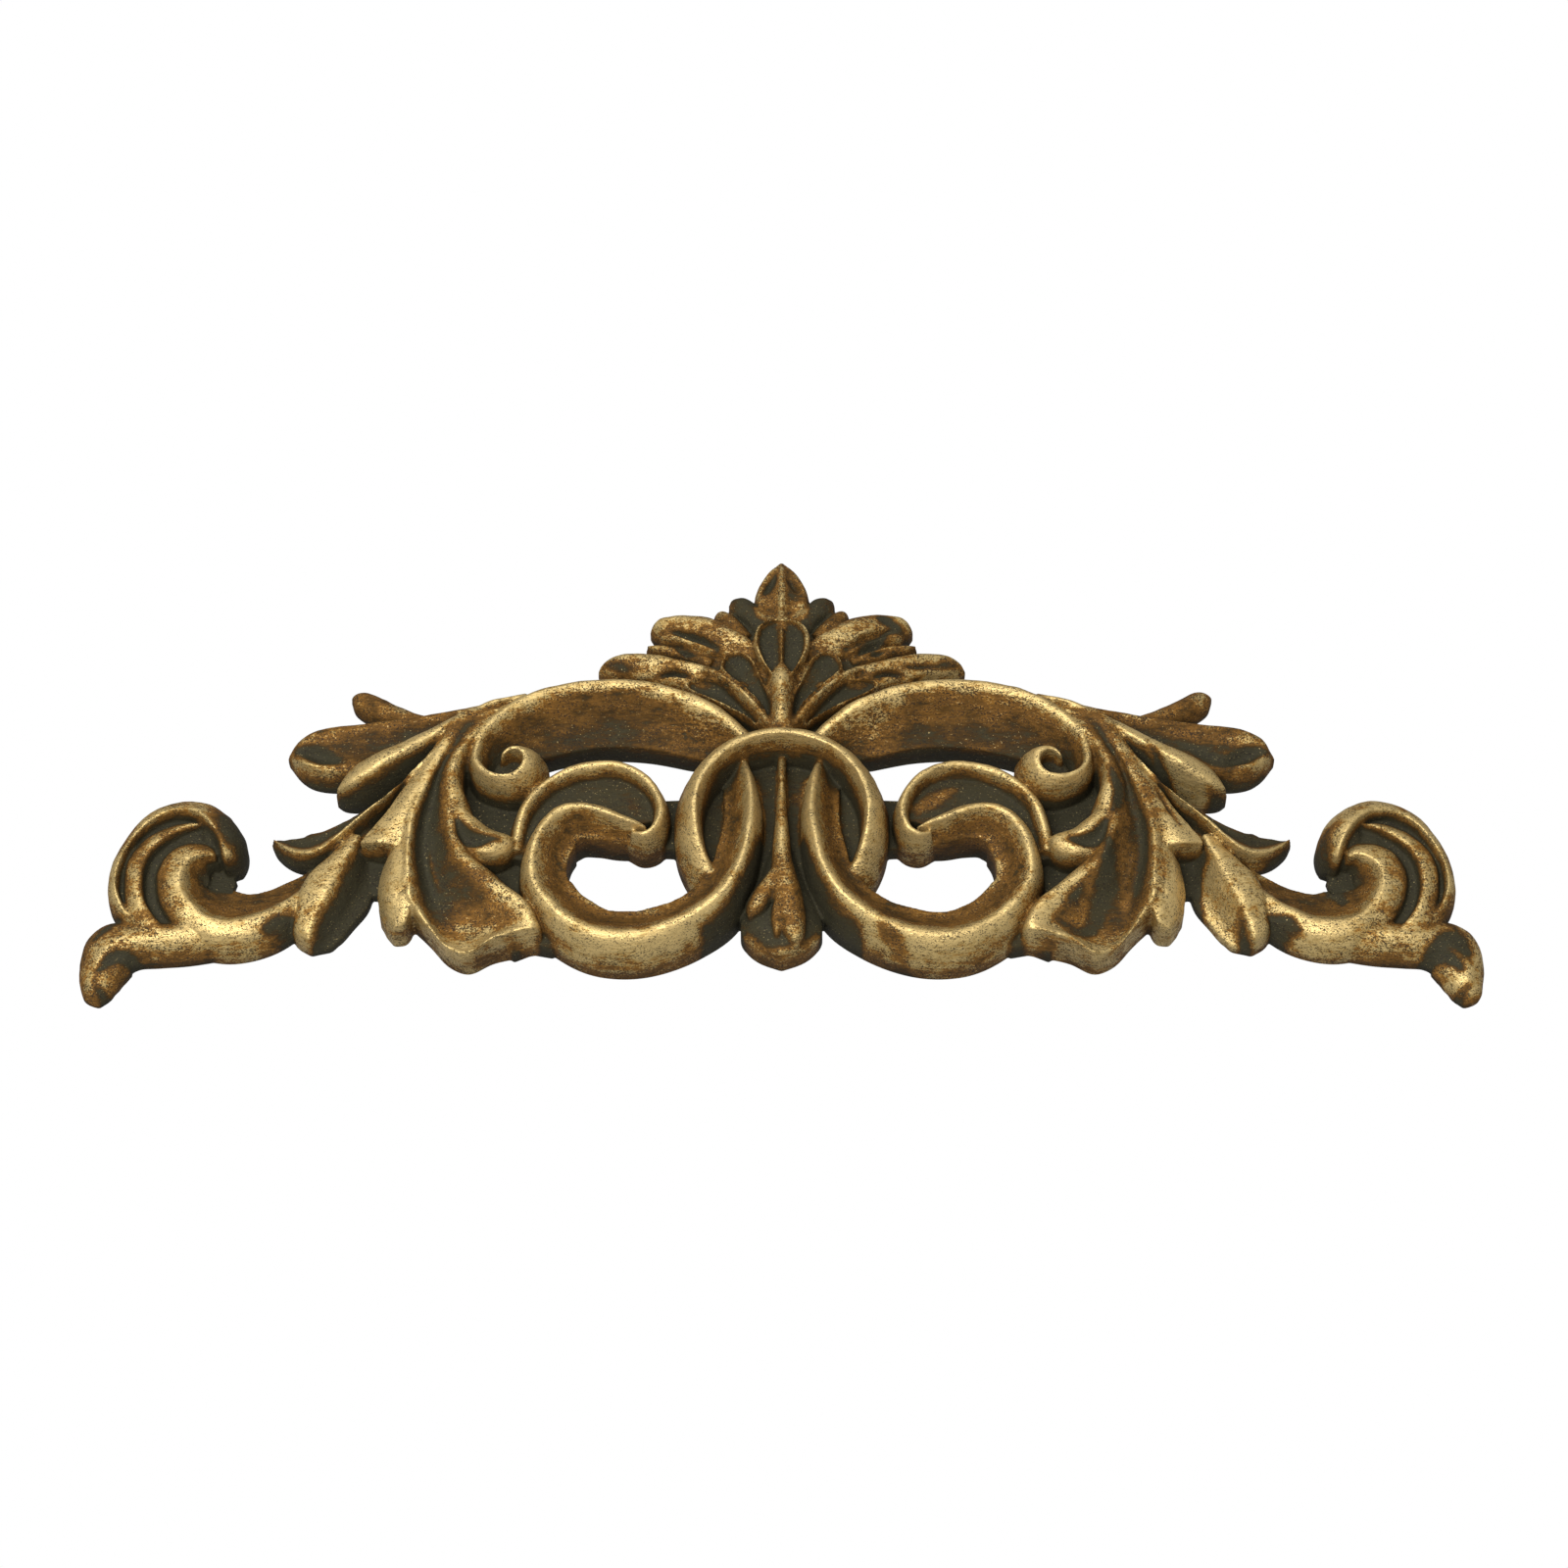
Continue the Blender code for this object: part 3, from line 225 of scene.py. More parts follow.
# Bands of the left half: a cross-section, the length over which its rim wraps round the tip, and stations of
# (x, z, width to the left, width to the right, rise). Left and right are as seen by someone walking the band.
SIDE_BANDS = {
    "arch": (COVE, 0, [
        (-14, 30, 12, 5, 22), (-30, 42, 18, 6, 28), (-53, 50.5, 21, 6, 30), (-76, 52.5, 22, 6, 30),
        (-99, 48.5, 22, 6, 30), (-115, 40, 20, 6, 30), (-125, 29, 15, 5, 30), (-128.3, 17.5, 11, 4, 30),
        (-126, 11, 9, 4, 31), (-121.6, 7.6, 7, 4, 31.5), (-115.9, 6.5, 5, 5, 32),
        (-110.8, 8, 3.5, 7, 32.5), (-108, 12, 2.4, 9.5, 33), (-108.3, 15.8, 2, 10, 33.5),
        (-110.8, 18, 1.8, 6, 33.5), (-113.8, 18, 1.6, 4.5, 33), (-116.2, 16.3, 1.4, 3, 32),
        (-117, 14.6, .5, .5, 31),
    ]),
    "scroll": (SCROLL, 0, [
        (-56.5, -14.5, 1.5, 2, 24), (-61.5, -13.5, 4, 4.5, 27), (-68, -12, 5.5, 6.5, 29),
        (-75.5, -9.3, 7, 6.5, 30), (-84, -7.2, 9.5, 6, 30), (-93, -9.5, 12, 6, 30),
        (-100, -18.5, 13, 6, 30), (-103.3, -30, 14, 6, 29), (-102.5, -41, 16, 6, 28),
        (-96, -51.5, 16.5, 7, 27.5), (-86.5, -59.5, 16.5, 7.5, 27), (-75.5, -64.8, 16.5, 7.5, 27),
        (-62.5, -66, 16.5, 7.5, 27), (-50, -63.5, 16, 7.5, 28), (-37, -58, 15, 7, 30),
        (-24.5, -49, 15, 6.5, 33), (-17, -36, 13.5, 6, 34), (-13.5, -21, 13, 5.5, 34),
        (-12.3, -8, 12, 5, 32.5), (-13.5, 7, 11, 4, 29), (-15.5, 17, 9, 3, 24), (-16.5, 22, 7, 2, 20),
    ]),
    "shell_rim": (RIM, 0, [
        (-62.5, -16.5, 2, 2, 24), (-57.5, -18, 2, 3, 26), (-52.8, -15, 2.5, 4, 27), (-50.5, -8, 3, 4, 27),
        (-52.5, 1, 3, 4, 27), (-59, 9.5, 3, 4, 27), (-70, 14.5, 3.4, 4, 27), (-84, 14, 4, 4, 26),
        (-97, 8, 4, 4, 25), (-105.5, -1, 4, 4, 24), (-109.5, -12, 4, 4, 22), (-110.5, -24, 4, 4, 20),
    ]),
    "shell_floor": (WORN_FLOOR, 0, [
        (-58, -10, 6, 6, 19), (-62, 0, 12, 6, 19), (-72, 5, 12, 8, 19), (-85, 4, 12, 8, 18),
        (-97, -3, 10, 8, 17), (-104, -14, 6, 6, 17), (-107, -26, 5, 5, 16),
    ]),
    "first_petal": (DISH, 7, [
        (-4, 38, 1.6, 1.6, 26), (-6.3, 45.6, 2, 2, 25.5), (-9.4, 52, 3.6, 3.4, 25),
        (-13.2, 58.6, 5.4, 5, 24.4), (-17, 64.6, 7.4, 6.6, 23.6), (-19.8, 68.8, 7.8, 6.4, 22.6),
        (-22.2, 71.8, 5.4, 4.4, 21.2), (-24, 73.8, .5, .5, 20),
    ]),
    "petal_ridge": (TRUNK, 0, [
        (-5.5, 35, 3.4, 3.4, 27), (-9.4, 41.4, 3.1, 3.1, 26.6), (-13.2, 46.8, 3, 3, 26.2),
        (-18.4, 52.8, 2.8, 2.9, 25.4), (-24, 58.6, 2.8, 3, 24.2), (-30, 63.4, 3, 3.2, 22.2),
        (-35, 66, 1, 1, 18),
    ]),
    "second_petal": (DISH, 8, [
        (-9, 37.4, 1.4, 1.6, 23.5), (-13.6, 43.4, 3.2, 3.4, 23.2), (-19.4, 48.8, 4.6, 4.8, 22.8),
        (-25.6, 53.2, 5.4, 5, 22.2), (-32, 56.8, 5.2, 4.6, 21.2), (-37.6, 58.8, 3.6, 3, 20),
        (-42, 59.4, .5, .5, 18.5),
    ]),
    "back_leaf_1": (ROUND_DARK, 5, [
        (-6, 86, 5, 4, 18), (-10.4, 92, 6, 5.4, 18), (-15, 98, 6.4, 6, 17),
        (-18.8, 102.4, 5.6, 5.4, 15.5), (-22.4, 106, .6, .6, 13),
    ]),
    "back_leaf_2": (LEAFLET, 6, [
        (-10, 71, 5, 7, 19.5), (-22, 78.6, 6.5, 9.5, 20), (-33, 84.4, 7.4, 11, 19),
        (-42.5, 89, 7, 9.4, 16.5), (-50, 91.8, 6.6, 6.2, 14), (-54.6, 92.2, 3.8, 3.6, 12),
        (-56.8, 92.2, .5, .5, 11),
    ]),
    "back_leaf_2_side": (BROWN, 4, [
        (-16, 83, 6, 6, 18.5), (-20.5, 90, 6.4, 5.6, 17.5), (-24.5, 95.4, 5.6, 5, 15.5),
        (-27.4, 98.6, 3.4, 3.2, 13.5), (-29, 100.2, .5, .5, 12.5),
    ]),
    "back_leaf_3": (SHADE, 0, [
        (-30, 72, 4, 4, 15.5), (-42, 77.5, 4, 3.5, 14), (-52, 81, 3, 3, 12), (-58.5, 83, .5, .5, 9.5),
    ]),
    "back_leaf_4": (LEAFLET, 8, [
        (-16, 55, 6, 6, 18.5), (-32, 63, 7.5, 6.5, 18.5), (-46, 68, 7.5, 6.2, 17.5),
        (-58, 71.3, 6.4, 6.8, 15.5), (-68, 72.8, 5.2, 6.6, 13), (-75, 73, 3.5, 4, 10.5),
        (-79, 72.4, .5, .5, 9),
    ]),
    "lobe_a": (BROWN, 5, [
        (-138, 41, 5, 5, 14), (-154, 44, 6.4, 5.6, 13.5), (-165, 48.6, 6.4, 6.2, 12.5),
        (-173.4, 53.6, 6, 6.2, 11), (-180, 58, 5, 5.4, 9.5), (-184.6, 60.6, .5, .5, 8),
    ]),
    "lobe_b": (CUPPED, 16, [
        (-98, 50, 3, 4, 24), (-120, 45, 5, 4.5, 22), (-140, 41, 9, 6, 19), (-160, 36.5, 14, 7.5, 17.5),
        (-178, 33, 17, 9.5, 16.5), (-193, 30, 15, 11, 15.5), (-203, 29, 10, 8, 14.5),
        (-209.5, 28.5, .5, .5, 12),
    ]),
    "lobe_c": (ROLL, 0, [
        (-108, 49, 3, 3, 26), (-122, 44, 3, 4, 28), (-136, 36, 4, 5, 28.5), (-147, 28.5, 6, 7, 28),
        (-158, 22, 7, 8, 27.5), (-168, 16.5, 7, 9, 26), (-177, 12, 6.5, 9, 22.5),
        (-184, 9.5, 4, 5.5, 17.5), (-188, 9, .5, .5, 13),
    ]),
    "lobe_d": (BLADE, 0, [
        (-116, 43, 3, 3, 28), (-130, 35, 3, 3, 29), (-141, 25, 2.6, 3, 29), (-152, 13.5, 2.6, 3.5, 28),
        (-162.5, 2.2, 2.6, 4.5, 26.5), (-171, -5, 2.8, 5.5, 25), (-178.5, -11, 3, 7, 23),
        (-185, -16.3, 3, 9.5, 20.5), (-191, -20.2, 3, 12, 18), (-197, -21.8, 3, 13, 16),
        (-204, -20.3, 2.6, 12, 14), (-210, -16, 2, 7.5, 12), (-213.8, -11.5, .6, .6, 9.5),
    ]),
    "lobe_e": (HANGING, 0, [
        (-176, -15, 8, 6, 18), (-181, -26, 12, 9, 19), (-185.5, -37, 14, 13.5, 20),
        (-189.5, -47, 11.5, 13.5, 20), (-193, -54, 10, 10.5, 18), (-194.5, -59.5, 7.5, 7.5, 15.5),
        (-195, -62.8, .5, .5, 13),
    ]),
    "lobe_f": (FACET, 0, [
        (-155, -14, .6, 3, 26), (-155.4, -21, 1, 7.4, 27.6), (-156, -30, 1.8, 10.2, 27.8),
        (-156.8, -40, 2.8, 10.8, 27), (-157.5, -47.5, 4.6, 9.8, 24.5), (-158.5, -52.5, 5, 8.4, 21.5),
        (-160, -56, 4, 5, 18.5), (-161, -58, .5, .5, 17),
    ]),
    "pocket_lobe": (PUFF, 6, [
        (-136.5, -2, 3, 3, 27), (-134.3, -9, 5, 5, 28.3), (-131, -15, 7.4, 7, 28.6),
        (-127, -19.5, 8.2, 8.6, 28), (-122, -21.4, 8, 8, 27), (-117, -21, 6.8, 6.8, 25.6),
        (-112.6, -19.6, 4.4, 4.4, 24), (-109.6, -18.4, .5, .5, 23),
    ]),
    "stalk": (STALK, 0, [
        (-170, -6, 9, 5, 13), (-178, -16, 9, 6, 13), (-190, -30, 8, 9, 14), (-201, -42, 9, 13, 16),
        (-211, -50.5, 10, 17, 18), (-220, -55, 10, 20, 18.5), (-230, -56.5, 10, 22, 19),
        (-238.5, -54, 10, 20, 19.5), (-244.5, -48, 9, 19, 20), (-248, -41, 8, 16, 20.2),
        (-248.6, -34, 7, 13, 20.2), (-246, -28.5, 6, 9, 20), (-241, -25.3, 4, 6, 19),
        (-237, -24.8, .5, .5, 17),
    ]),
    "inner_roll": (INNER, 0, [
        (-238, -58, 5, 1, 17), (-242.8, -52.2, 8, 1.2, 19), (-246.6, -46, 10.2, 1.2, 20.4),
        (-249, -38.5, 11, 1.2, 20.8), (-248.8, -33, 11.6, 1.2, 20.8), (-246.2, -28.4, 11.4, 1.2, 20.8),
        (-242.2, -25.6, 8.8, 1.2, 20.4), (-238.6, -24.8, 6.6, 1, 19.8), (-235, -25.6, 3, .6, 18),
    ]),
    "volute_rim": (BULGE, 0, [
        (-268, -55, 3, 2, 15), (-273, -47.5, 4, 1.4, 17), (-275.8, -41, 4.6, 1.2, 18.5),
        (-276.2, -34, 4.6, 1.2, 19.5), (-274.5, -26, 5.2, 1.2, 20), (-271, -19.2, 6, 1.2, 20.5),
        (-266.5, -12.7, 7, 1.2, 21), (-261, -8.3, 7.8, 1.2, 22), (-255, -6, 8.6, 1.2, 23),
        (-249, -5.9, 10, 1.3, 24), (-244, -7.6, 11, 1.4, 25), (-240, -11.2, 12, 1.5, 26),
        (-236.7, -15.3, 12, 1.6, 26.5), (-234, -19.6, 11, 1.8, 26), (-231.8, -24.5, 8.5, 2, 24),
        (-230.5, -28, 5, 1, 20),
    ]),
    "middle_roll": (SAW, 0, [
        (-254.5, -58.5, 7, 1, 16.5), (-258.1, -55, 9, 1.2, 18), (-262.2, -49.5, 8.5, 1.2, 19),
        (-264.6, -43.8, 7.6, 1.2, 19.5), (-265.6, -37, 7.6, 1.2, 19.8), (-265, -30, 8.2, 1.2, 20),
        (-262.4, -23.6, 7.8, 1.2, 20.2), (-257.8, -18.4, 6.8, 1.2, 20.4), (-251.8, -14.6, 5.4, 1.1, 20.8),
        (-246, -12.2, 3, .8, 21), (-242, -11.4, .6, .4, 21),
    ]),
    "tail": (ROUND, 8, [
        (-232, -57, 8, 6, 15), (-246, -59.5, 8, 8, 16.5), (-258, -60, 8.5, 8.5, 17),
        (-268, -60.5, 9, 10, 16), (-276, -63.5, 11, 13.5, 14.5), (-281, -71.5, 10.5, 10, 12.5),
        (-282.5, -79, 8.5, 7, 11), (-282, -84, 5.5, 5, 9.5), (-281.5, -87, .5, .5, 8),
    ]),
    "volute_bed": (PAINTED, 0, [
        (-247, -56, 4, 4, 11), (-257, -54, 7, 8, 12), (-264.5, -46, 10, 13, 12.5),
        (-268, -33, 9, 15, 13.2), (-264.5, -23, 10, 16, 14), (-258, -15.5, 11, 14, 14.5),
        (-250, -11, 11, 12, 15.5), (-242, -13, 8, 10, 16), (-235, -18, 6, 6, 15),
    ]),
    "volute_hollow": (PAINTED, 0, [(-247, -31, 6, 6, 6), (-238, -30.5, 6, 6, 5), (-229, -33, 4, 3, 4)]),
    "leaf_bed": (PAINTED, 0, [(-120, 36, 10, 8, 8), (-145, 26, 12, 10, 8), (-172, 20, 8, 6, 7)]),
    "web": (PAINTED, 0, [(-165, -2, 6, 6, 9), (-164, -12, 10, 10, 9), (-167, -24, 8, 8, 7),
        (-169.5, -37, 6, 6, 5)]),
    "lip_heel": (SHADE_FLAT, 0, [(-112, -57, 5, 4, 10), (-102, -58.5, 6, 4, 12), (-94, -60, 5, 4, 12)]),
    "bridge": (DEEP, 0, [(-60, -5, 12, 11, 9), (-40, -6, 13, 11, 9)]),
    "crevice": (PAINTED, 0, [
        (-116, 26, 8, 16, 8), (-114, 5, 16, 20, 9), (-112, -20, 14, 22, 9), (-104, -46, 14, 22, 9),
        (-98, -60, 10, 14, 8),
    ]),
}

# Bands on the middle line.
MIDDLE_BANDS = {
    "stem": (HUSK, 3, [
        (0, 22, 1.8, 1.8, 20), (0, 14, 1.7, 1.7, 22.5), (0, 5, 1.8, 1.8, 24), (0, -5, 2.4, 2.4, 26),
        (0, -14, 3.1, 3.1, 27), (0, -24, 3.8, 3.8, 27.6), (.4, -33, 5, 5, 27.6), (1.4, -41, 6, 6, 27.4),
        (3, -49, 6.2, 6.2, 26.6), (4.4, -56.5, 5.6, 5.6, 25), (5.4, -62, 4.4, 4.2, 23),
        (6, -67, .5, .5, 20.5),
    ]),
    "stem_petal_left": (HUSK, 3, [
        (-2, -35, 3, 3, 26.5), (-5.6, -41.5, 4, 4, 26.2), (-9, -47, 4.4, 4.4, 25.2),
        (-11.4, -51, 3.8, 3.8, 23.8), (-13, -54.5, .5, .5, 22.5),
    ]),
    "stem_foot": (HUSK, 2, [(-1.6, -50, 2.4, 2.4, 24), (-2, -57, 2.4, 2.4, 23), (-2, -64, 1, 1, 20.5)]),
    "tongue": (TONGUE, 0, [
        (0, -20, 6, 6, 20), (0, -34, 10, 10, 22), (0, -46, 15, 15, 23), (0, -56, 17, 17, 23),
        (0, -62, 14, 14, 22), (0, -66.5, 8.5, 8.5, 20.5), (0, -69.6, .5, .5, 19),
    ]),
    "middle_petal": (PETAL, 6, [
        (0, 55, 3, 3, 28), (0, 60, 5.4, 5.4, 29), (0, 65, 8.6, 8.6, 29.2), (0, 70.5, 11, 11, 29),
        (0, 76.5, 12, 12, 28.4), (0, 82.5, 11, 11, 27.2), (0, 86.6, 7.4, 7.4, 26.2),
        (0, 89, .5, .5, 25.5),
    ]),
    "palmette_root": (TRUNK, 0, [
        (0, 28, 10.5, 10.5, 27), (0, 33, 9.6, 9.6, 29), (0, 38, 7.2, 7.2, 30), (0, 44, 6.2, 6.2, 30.8),
        (0, 51, 7.4, 7.4, 30.8), (0, 56.5, 8.2, 8.2, 30.2), (0, 61, 6.6, 6.6, 29), (0, 65, 2, 2, 27),
        (0, 67, 1, 1, 25),
    ]),
    "top_leaf": (LEAF, 5, [
        (0, 80, 6, 6, 18), (0, 92, 9.5, 9.5, 18.5), (0, 101, 11.2, 11.2, 18), (0, 106, 11.6, 11.6, 17.5),
        (0, 112, 10.4, 10.4, 16.5), (0, 118, 7, 7, 15), (0, 122.5, 3.6, 3.6, 13), (0, 126.5, .4, .4, 11),
    ]),
    "fan": (GRANULAR, 0, [
        (0, 30, 20, 20, 10), (0, 44, 30, 30, 12), (0, 56, 36, 36, 14), (0, 66, 40, 40, 14.5),
        (0, 80, 30, 30, 14), (0, 92, 14, 14, 12), (0, 100, 8, 8, 8),
    ]),
}

# Nets of points (x, z, rise) for the left half's freer forms: rows from root to tip, each across from the
# middle side outwards, and the leaf at a few even places down and each place across.
GREAT_LOBE = [
    [(-103, 44, 18), (-104, 45, 20), (-105, 45.8, 21), (-106, 46.6, 21.5), (-107, 47.2, 21.5),
     (-108, 47.8, 21.5),
     (-109, 48.2, 21.5), (-110.5, 48.6, 20)],
    [(-120, 32, 22), (-122, 33, 29), (-124, 34, 29.5), (-126, 35, 29), (-128, 36, 28.8), (-130, 37, 29.2),
     (-132, 38, 29.6), (-135, 39, 28.6)],
    [(-130, 19.5, 22), (-132, 21, 29.5), (-134.5, 20.5, 30.5), (-137, 20, 29), (-139, 19.5, 27.5),
     (-140.5, 19, 28.5),
     (-142, 18.5, 29.6), (-145, 18.5, 29.2)],
    [(-133.5, 8, 20), (-135.5, 9, 28), (-138.5, 8.5, 30), (-142.3, 8, 27), (-144.3, 7.5, 24.5),
     (-145.4, 7.3, 26.5),
     (-146.8, 7, 29.5), (-150, 7, 29.2)],
    [(-130.5, -2, 20), (-132.8, -2, 27.5), (-137.5, -2.5, 29.5), (-142, -3, 26), (-145, -3, 23),
     (-148, -3, 23.5),
     (-150.4, -3, 29.3), (-154, -3, 28.8)],
    [(-127, -13, 20), (-131, -13, 25), (-137.5, -13, 29), (-141.8, -13, 25.5), (-146, -13, 22),
     (-150, -13, 22),
     (-153, -13, 28.8), (-156.5, -13, 28)],
    [(-127.5, -25, 19), (-130.5, -25.5, 25), (-135, -26, 28.5), (-139, -26.5, 24), (-144.5, -27, 20),
     (-150, -27, 20),
     (-154.2, -27, 28.5), (-157.5, -27, 26)],
    [(-116, -37, 18), (-119.5, -38.5, 26), (-127, -38.5, 26.5), (-134.5, -39, 22), (-141, -39, 18),
     (-147, -39, 17.5),
     (-153.3, -39, 27.5), (-156.5, -39, 25)],
    [(-103.5, -48.5, 18), (-107, -49.5, 26), (-116, -50.5, 23.5), (-126, -51.5, 18.5), (-136, -52, 15.5),
     (-144, -51.5, 16), (-152.3, -49, 25.5), (-155.5, -48, 23)],
    [(-99.5, -58, 18), (-102.3, -58.5, 25.5), (-113, -59.5, 22), (-124, -61, 17.5), (-134.5, -60.8, 15),
     (-142, -57.5, 15.5), (-149, -53.5, 21.5), (-152.5, -52, 19)],
    [(-99, -60.8, 17), (-101.4, -62.2, 24), (-110, -64, 25), (-119.7, -66.5, 22), (-129.3, -71.3, 19.5),
     (-138, -67.8, 18.5), (-145, -59.8, 20), (-149, -55.5, 18)],
]
GREAT_LOBE_LEAF = [
    (.6, .7, .6, .5, .45, .5, .5, .35), (.4, .75, .75, .4, .15, .35, .8, .9),
    (.25, .65, .78, .4, .02, .05, .72, .9), (.3, .6, .6, .3, .12, -.05, .7, .95),
    (.6, .75, .5, .38, .36, .3, .65, .9), (.9, .95, .9, .8, .75, .75, .85, .85),
]
WEDGE = [
    [(-118, 43, 22), (-120, 43.6, 22.5), (-122, 44, 21)],
    [(-131, 36, 28.8), (-133.5, 37, 28.8), (-136, 38, 26.5)],
    [(-141, 18.5, 29.3), (-144.5, 19.5, 29.2), (-148, 20.5, 26)],
    [(-147.5, 3, 29.2), (-152, 4, 29.2), (-157, 5.5, 25.5)],
    [(-152, -9, 28.4), (-158.5, -8.5, 28), (-166, -9, 24.5)],
    [(-155, -18, 27), (-163.5, -17.5, 26.8), (-172.5, -17, 23.5)],
    [(-158, -24, 24.5), (-166.5, -23, 26.3), (-175.5, -21.5, 23)],
]
WEDGE_LEAF = [(.8, .85, .8), (.75, .85, .85), (.8, .95, .95)]

# Cuts of a gouge on the left half, as (leaf it leaves, half-width, depth, places (x, z) that it runs
# through). A cut with no depth only wears or paints, and one below 0 leaves a raised lip.
CUTS = {
    "leaf_2_slot": (0, 2.2, 5, [(-50, 89), (-42, 86), (-34, 82), (-26, 76)]),
    "leaf_2_brown": (.42, 1.5, 1, [(-51, 85), (-45, 83), (-39, 80)]),
    "leaf_2_tip": (.35, 1.8, .3, [(-54, 89), (-48, 88)]),
    "leaf_3_slot": (0, 1.7, 4, [(-46, 80), (-41, 77), (-36, 75)]),
    "leaf_4_line": (.05, .9, 1.4, [(-67, 67), (-60, 65), (-52, 65)]),
    "leaf_4_slot": (.05, 1.9, 5, [(-54, 65), (-46, 66), (-38, 63)]),
    "leaf_4_tip": (.1, 3.3, .3, [(-76, 73), (-71, 73), (-65, 69)]),
    "leaf_1_groove": (0, 1.6, 2.4, [(-21, 97), (-16, 92), (-13, 88)]),
    "top_leaf_hollow": (.02, 2.3, 2, [(-2, 118), (-5, 111), (-9, 105)]),
    "top_leaf_base": (.7, 4, -1, [(-11, 98), (-6, 93), (1, 90)]),
    "pocket": (0, 4.5, 4.6, [(-135, -13), (-131, -20), (-126, -22), (-119, -21)]),
    "great_groove": (.02, 3.4, .7, [(-144, 8), (-147, -7), (-149, -24), (-144, -48)]),
    "great_streak": (.55, 1.3, -.8, [(-147, -23), (-145, -32), (-142, -42)]),
    "great_cut": (.5, .9, 1.8, [(-152, -42), (-160, -47)]),
    "leaf_b_pocket": (.02, 5.2, 2.6, [(-206, 29), (-197, 27), (-187, 23)]),
    "leaf_b_lip": (.78, 1.7, -1.6, [(-208, 31), (-206, 25), (-198, 21), (-187, 20)]),
    "wedge_slot": (.1, 1.6, 2.5, [(-156, 10), (-164, -2), (-173, -12)]),
    "root_line": (.35, .8, 1.2, [(-132, 37), (-143, 26), (-152, 14)]),
    "tail_hollow": (.05, 3.4, 1.2, [(-282, -76), (-274, -69), (-262, -71)]),
    "tail_end": (.12, 3, .3, [(-283, -80), (-278, -86), (-273, -85)]),
    "tail_top": (.12, 2.6, .2, [(-285, -62), (-275, -52)]),
    "stalk_dark": (.1, 5, .4, [(-214, -59), (-208, -56), (-202, -53)]),
    "lip_edge": (.8, 1.4, -.8, [(-101, -64), (-109, -62), (-119, -65), (-128, -71), (-141, -65)]),
    "slate_cheek": (.05, 4.8, 0, [(-9, -20), (-12, -38), (-21, -53), (-33, -62)]),
    "pendant_lip": (.62, 2.8, 0, [(-15, -60), (-8, -67), (0, -70), (8, -67), (15, -60)]),
}

# Cuts and worn streaks that only the right half has.
RIGHT_CUTS = {
    "top_leaf": (.36, 4.4, 0, [(2, 117), (5, 112), (8, 106)]),
    "top_leaf_base": (.72, 4, 0, [(1, 99), (11, 101)]),
    "leaf_2": (.58, 5, 0, [(18, 86), (29, 93), (40, 94)]),
    "leaf_2_end": (.02, 4.4, .6, [(41, 94), (47, 91), (51, 89)]),
    "leaf_2_rib": (.78, 2.6, -1, [(28, 79), (37, 85), (46, 90)]),
    "leaf_2_slot": (0, 2, 3, [(33, 77), (39, 81), (45, 85)]),
    "leaf_3": (.72, 3.4, -1, [(40, 79), (53, 85)]),
    "leaf_4": (.58, 4.4, 0, [(32, 75), (46, 73), (60, 76)]),
    "leaf_4_slot": (.03, 1.8, 2, [(51, 69), (67, 71)]),
    "leaf_4_edge": (.74, 2.2, -.3, [(52, 65), (71, 70)]),
    "valley": (.5, 7.5, 0, [(140, 17), (145, -12), (142, -52)]),
    "valley_streak": (.03, 3, 0, [(137, 12), (140, 0), (137, -11)]),
    "valley_edge": (.03, 5, 0, [(136, -22), (132, -48), (125, -61), (113, -57)]),
    "ridge": (.64, 5, 0, [(148, 10), (158, -24), (150, -60)]),
    "leaf_b_pocket": (.03, 4.6, 1.2, [(171, 31), (187, 23), (202, 28)]),
    "leaf_b_top": (.62, 3, 0, [(157, 38), (180, 34), (202, 32)]),
    "leaf_c": (.92, 4.6, 0, [(156, 20), (172, 9), (187, -3)]),
    "slot": (0, 2, 3.6, [(153, 26), (163, 12), (178, -8)]),
    "low_slot": (.12, 1.4, 1.8, [(155, 4), (161, -7), (167, -17)]),
    "leaf_d": (.84, 4.8, 0, [(185, -18), (200, -27), (213, -21)]),
    "leaf_e": (.95, 7.5, 0, [(178, -27), (182, -47), (188, -65)]),
    "leaf_e_shade": (.05, 4.2, 0, [(173, -28), (172, -45), (178, -65)]),
    "lip": (.84, 3.8, 0, [(129, -34), (115, -46), (102, -64)]),
    "lip_shade": (.05, 2.8, 0, [(125, -40), (113, -57)]),
    "volute_rim": (.76, 6, 0, [(228, -11), (240, -1), (254, -1), (268, -10)]),
    "volute_shade": (.04, 4.2, 0, [(228, -13), (226, -27), (234, -43)]),
    "tail_hollow": (.04, 5.5, .9, [(265, -70), (276, -62), (285, -70)]),
    "tail_rim": (.85, 3.6, -.4, [(281, -55), (288, -66), (282, -78), (273, -79)]),
    "worn_scroll": (.3, 3, .3, [(39, -62), (53, -71)]),
    "worn_scroll_edge": (.25, 3.4, .3, [(35, -71), (45, -75), (56, -74)]),
    "shell": (.6, 3.6, 0, [(55, -3), (63, 1), (72, 6)]),
}

# Round knobs: (x, z, half-width, half-height, rise, share of the rise where the dome starts, leaf).
KNOBS = {
    "snail_floor": (-112, 12.5, 9, 8, 23, .9, .03),
    "volute_end": (-236, -14, 9, 9, 20, .35, .15),
}
RING_BED = (*RING_CENTRE, RING_RADIUS, RING_RADIUS - 4, RING_FLOOR, .9, .05)

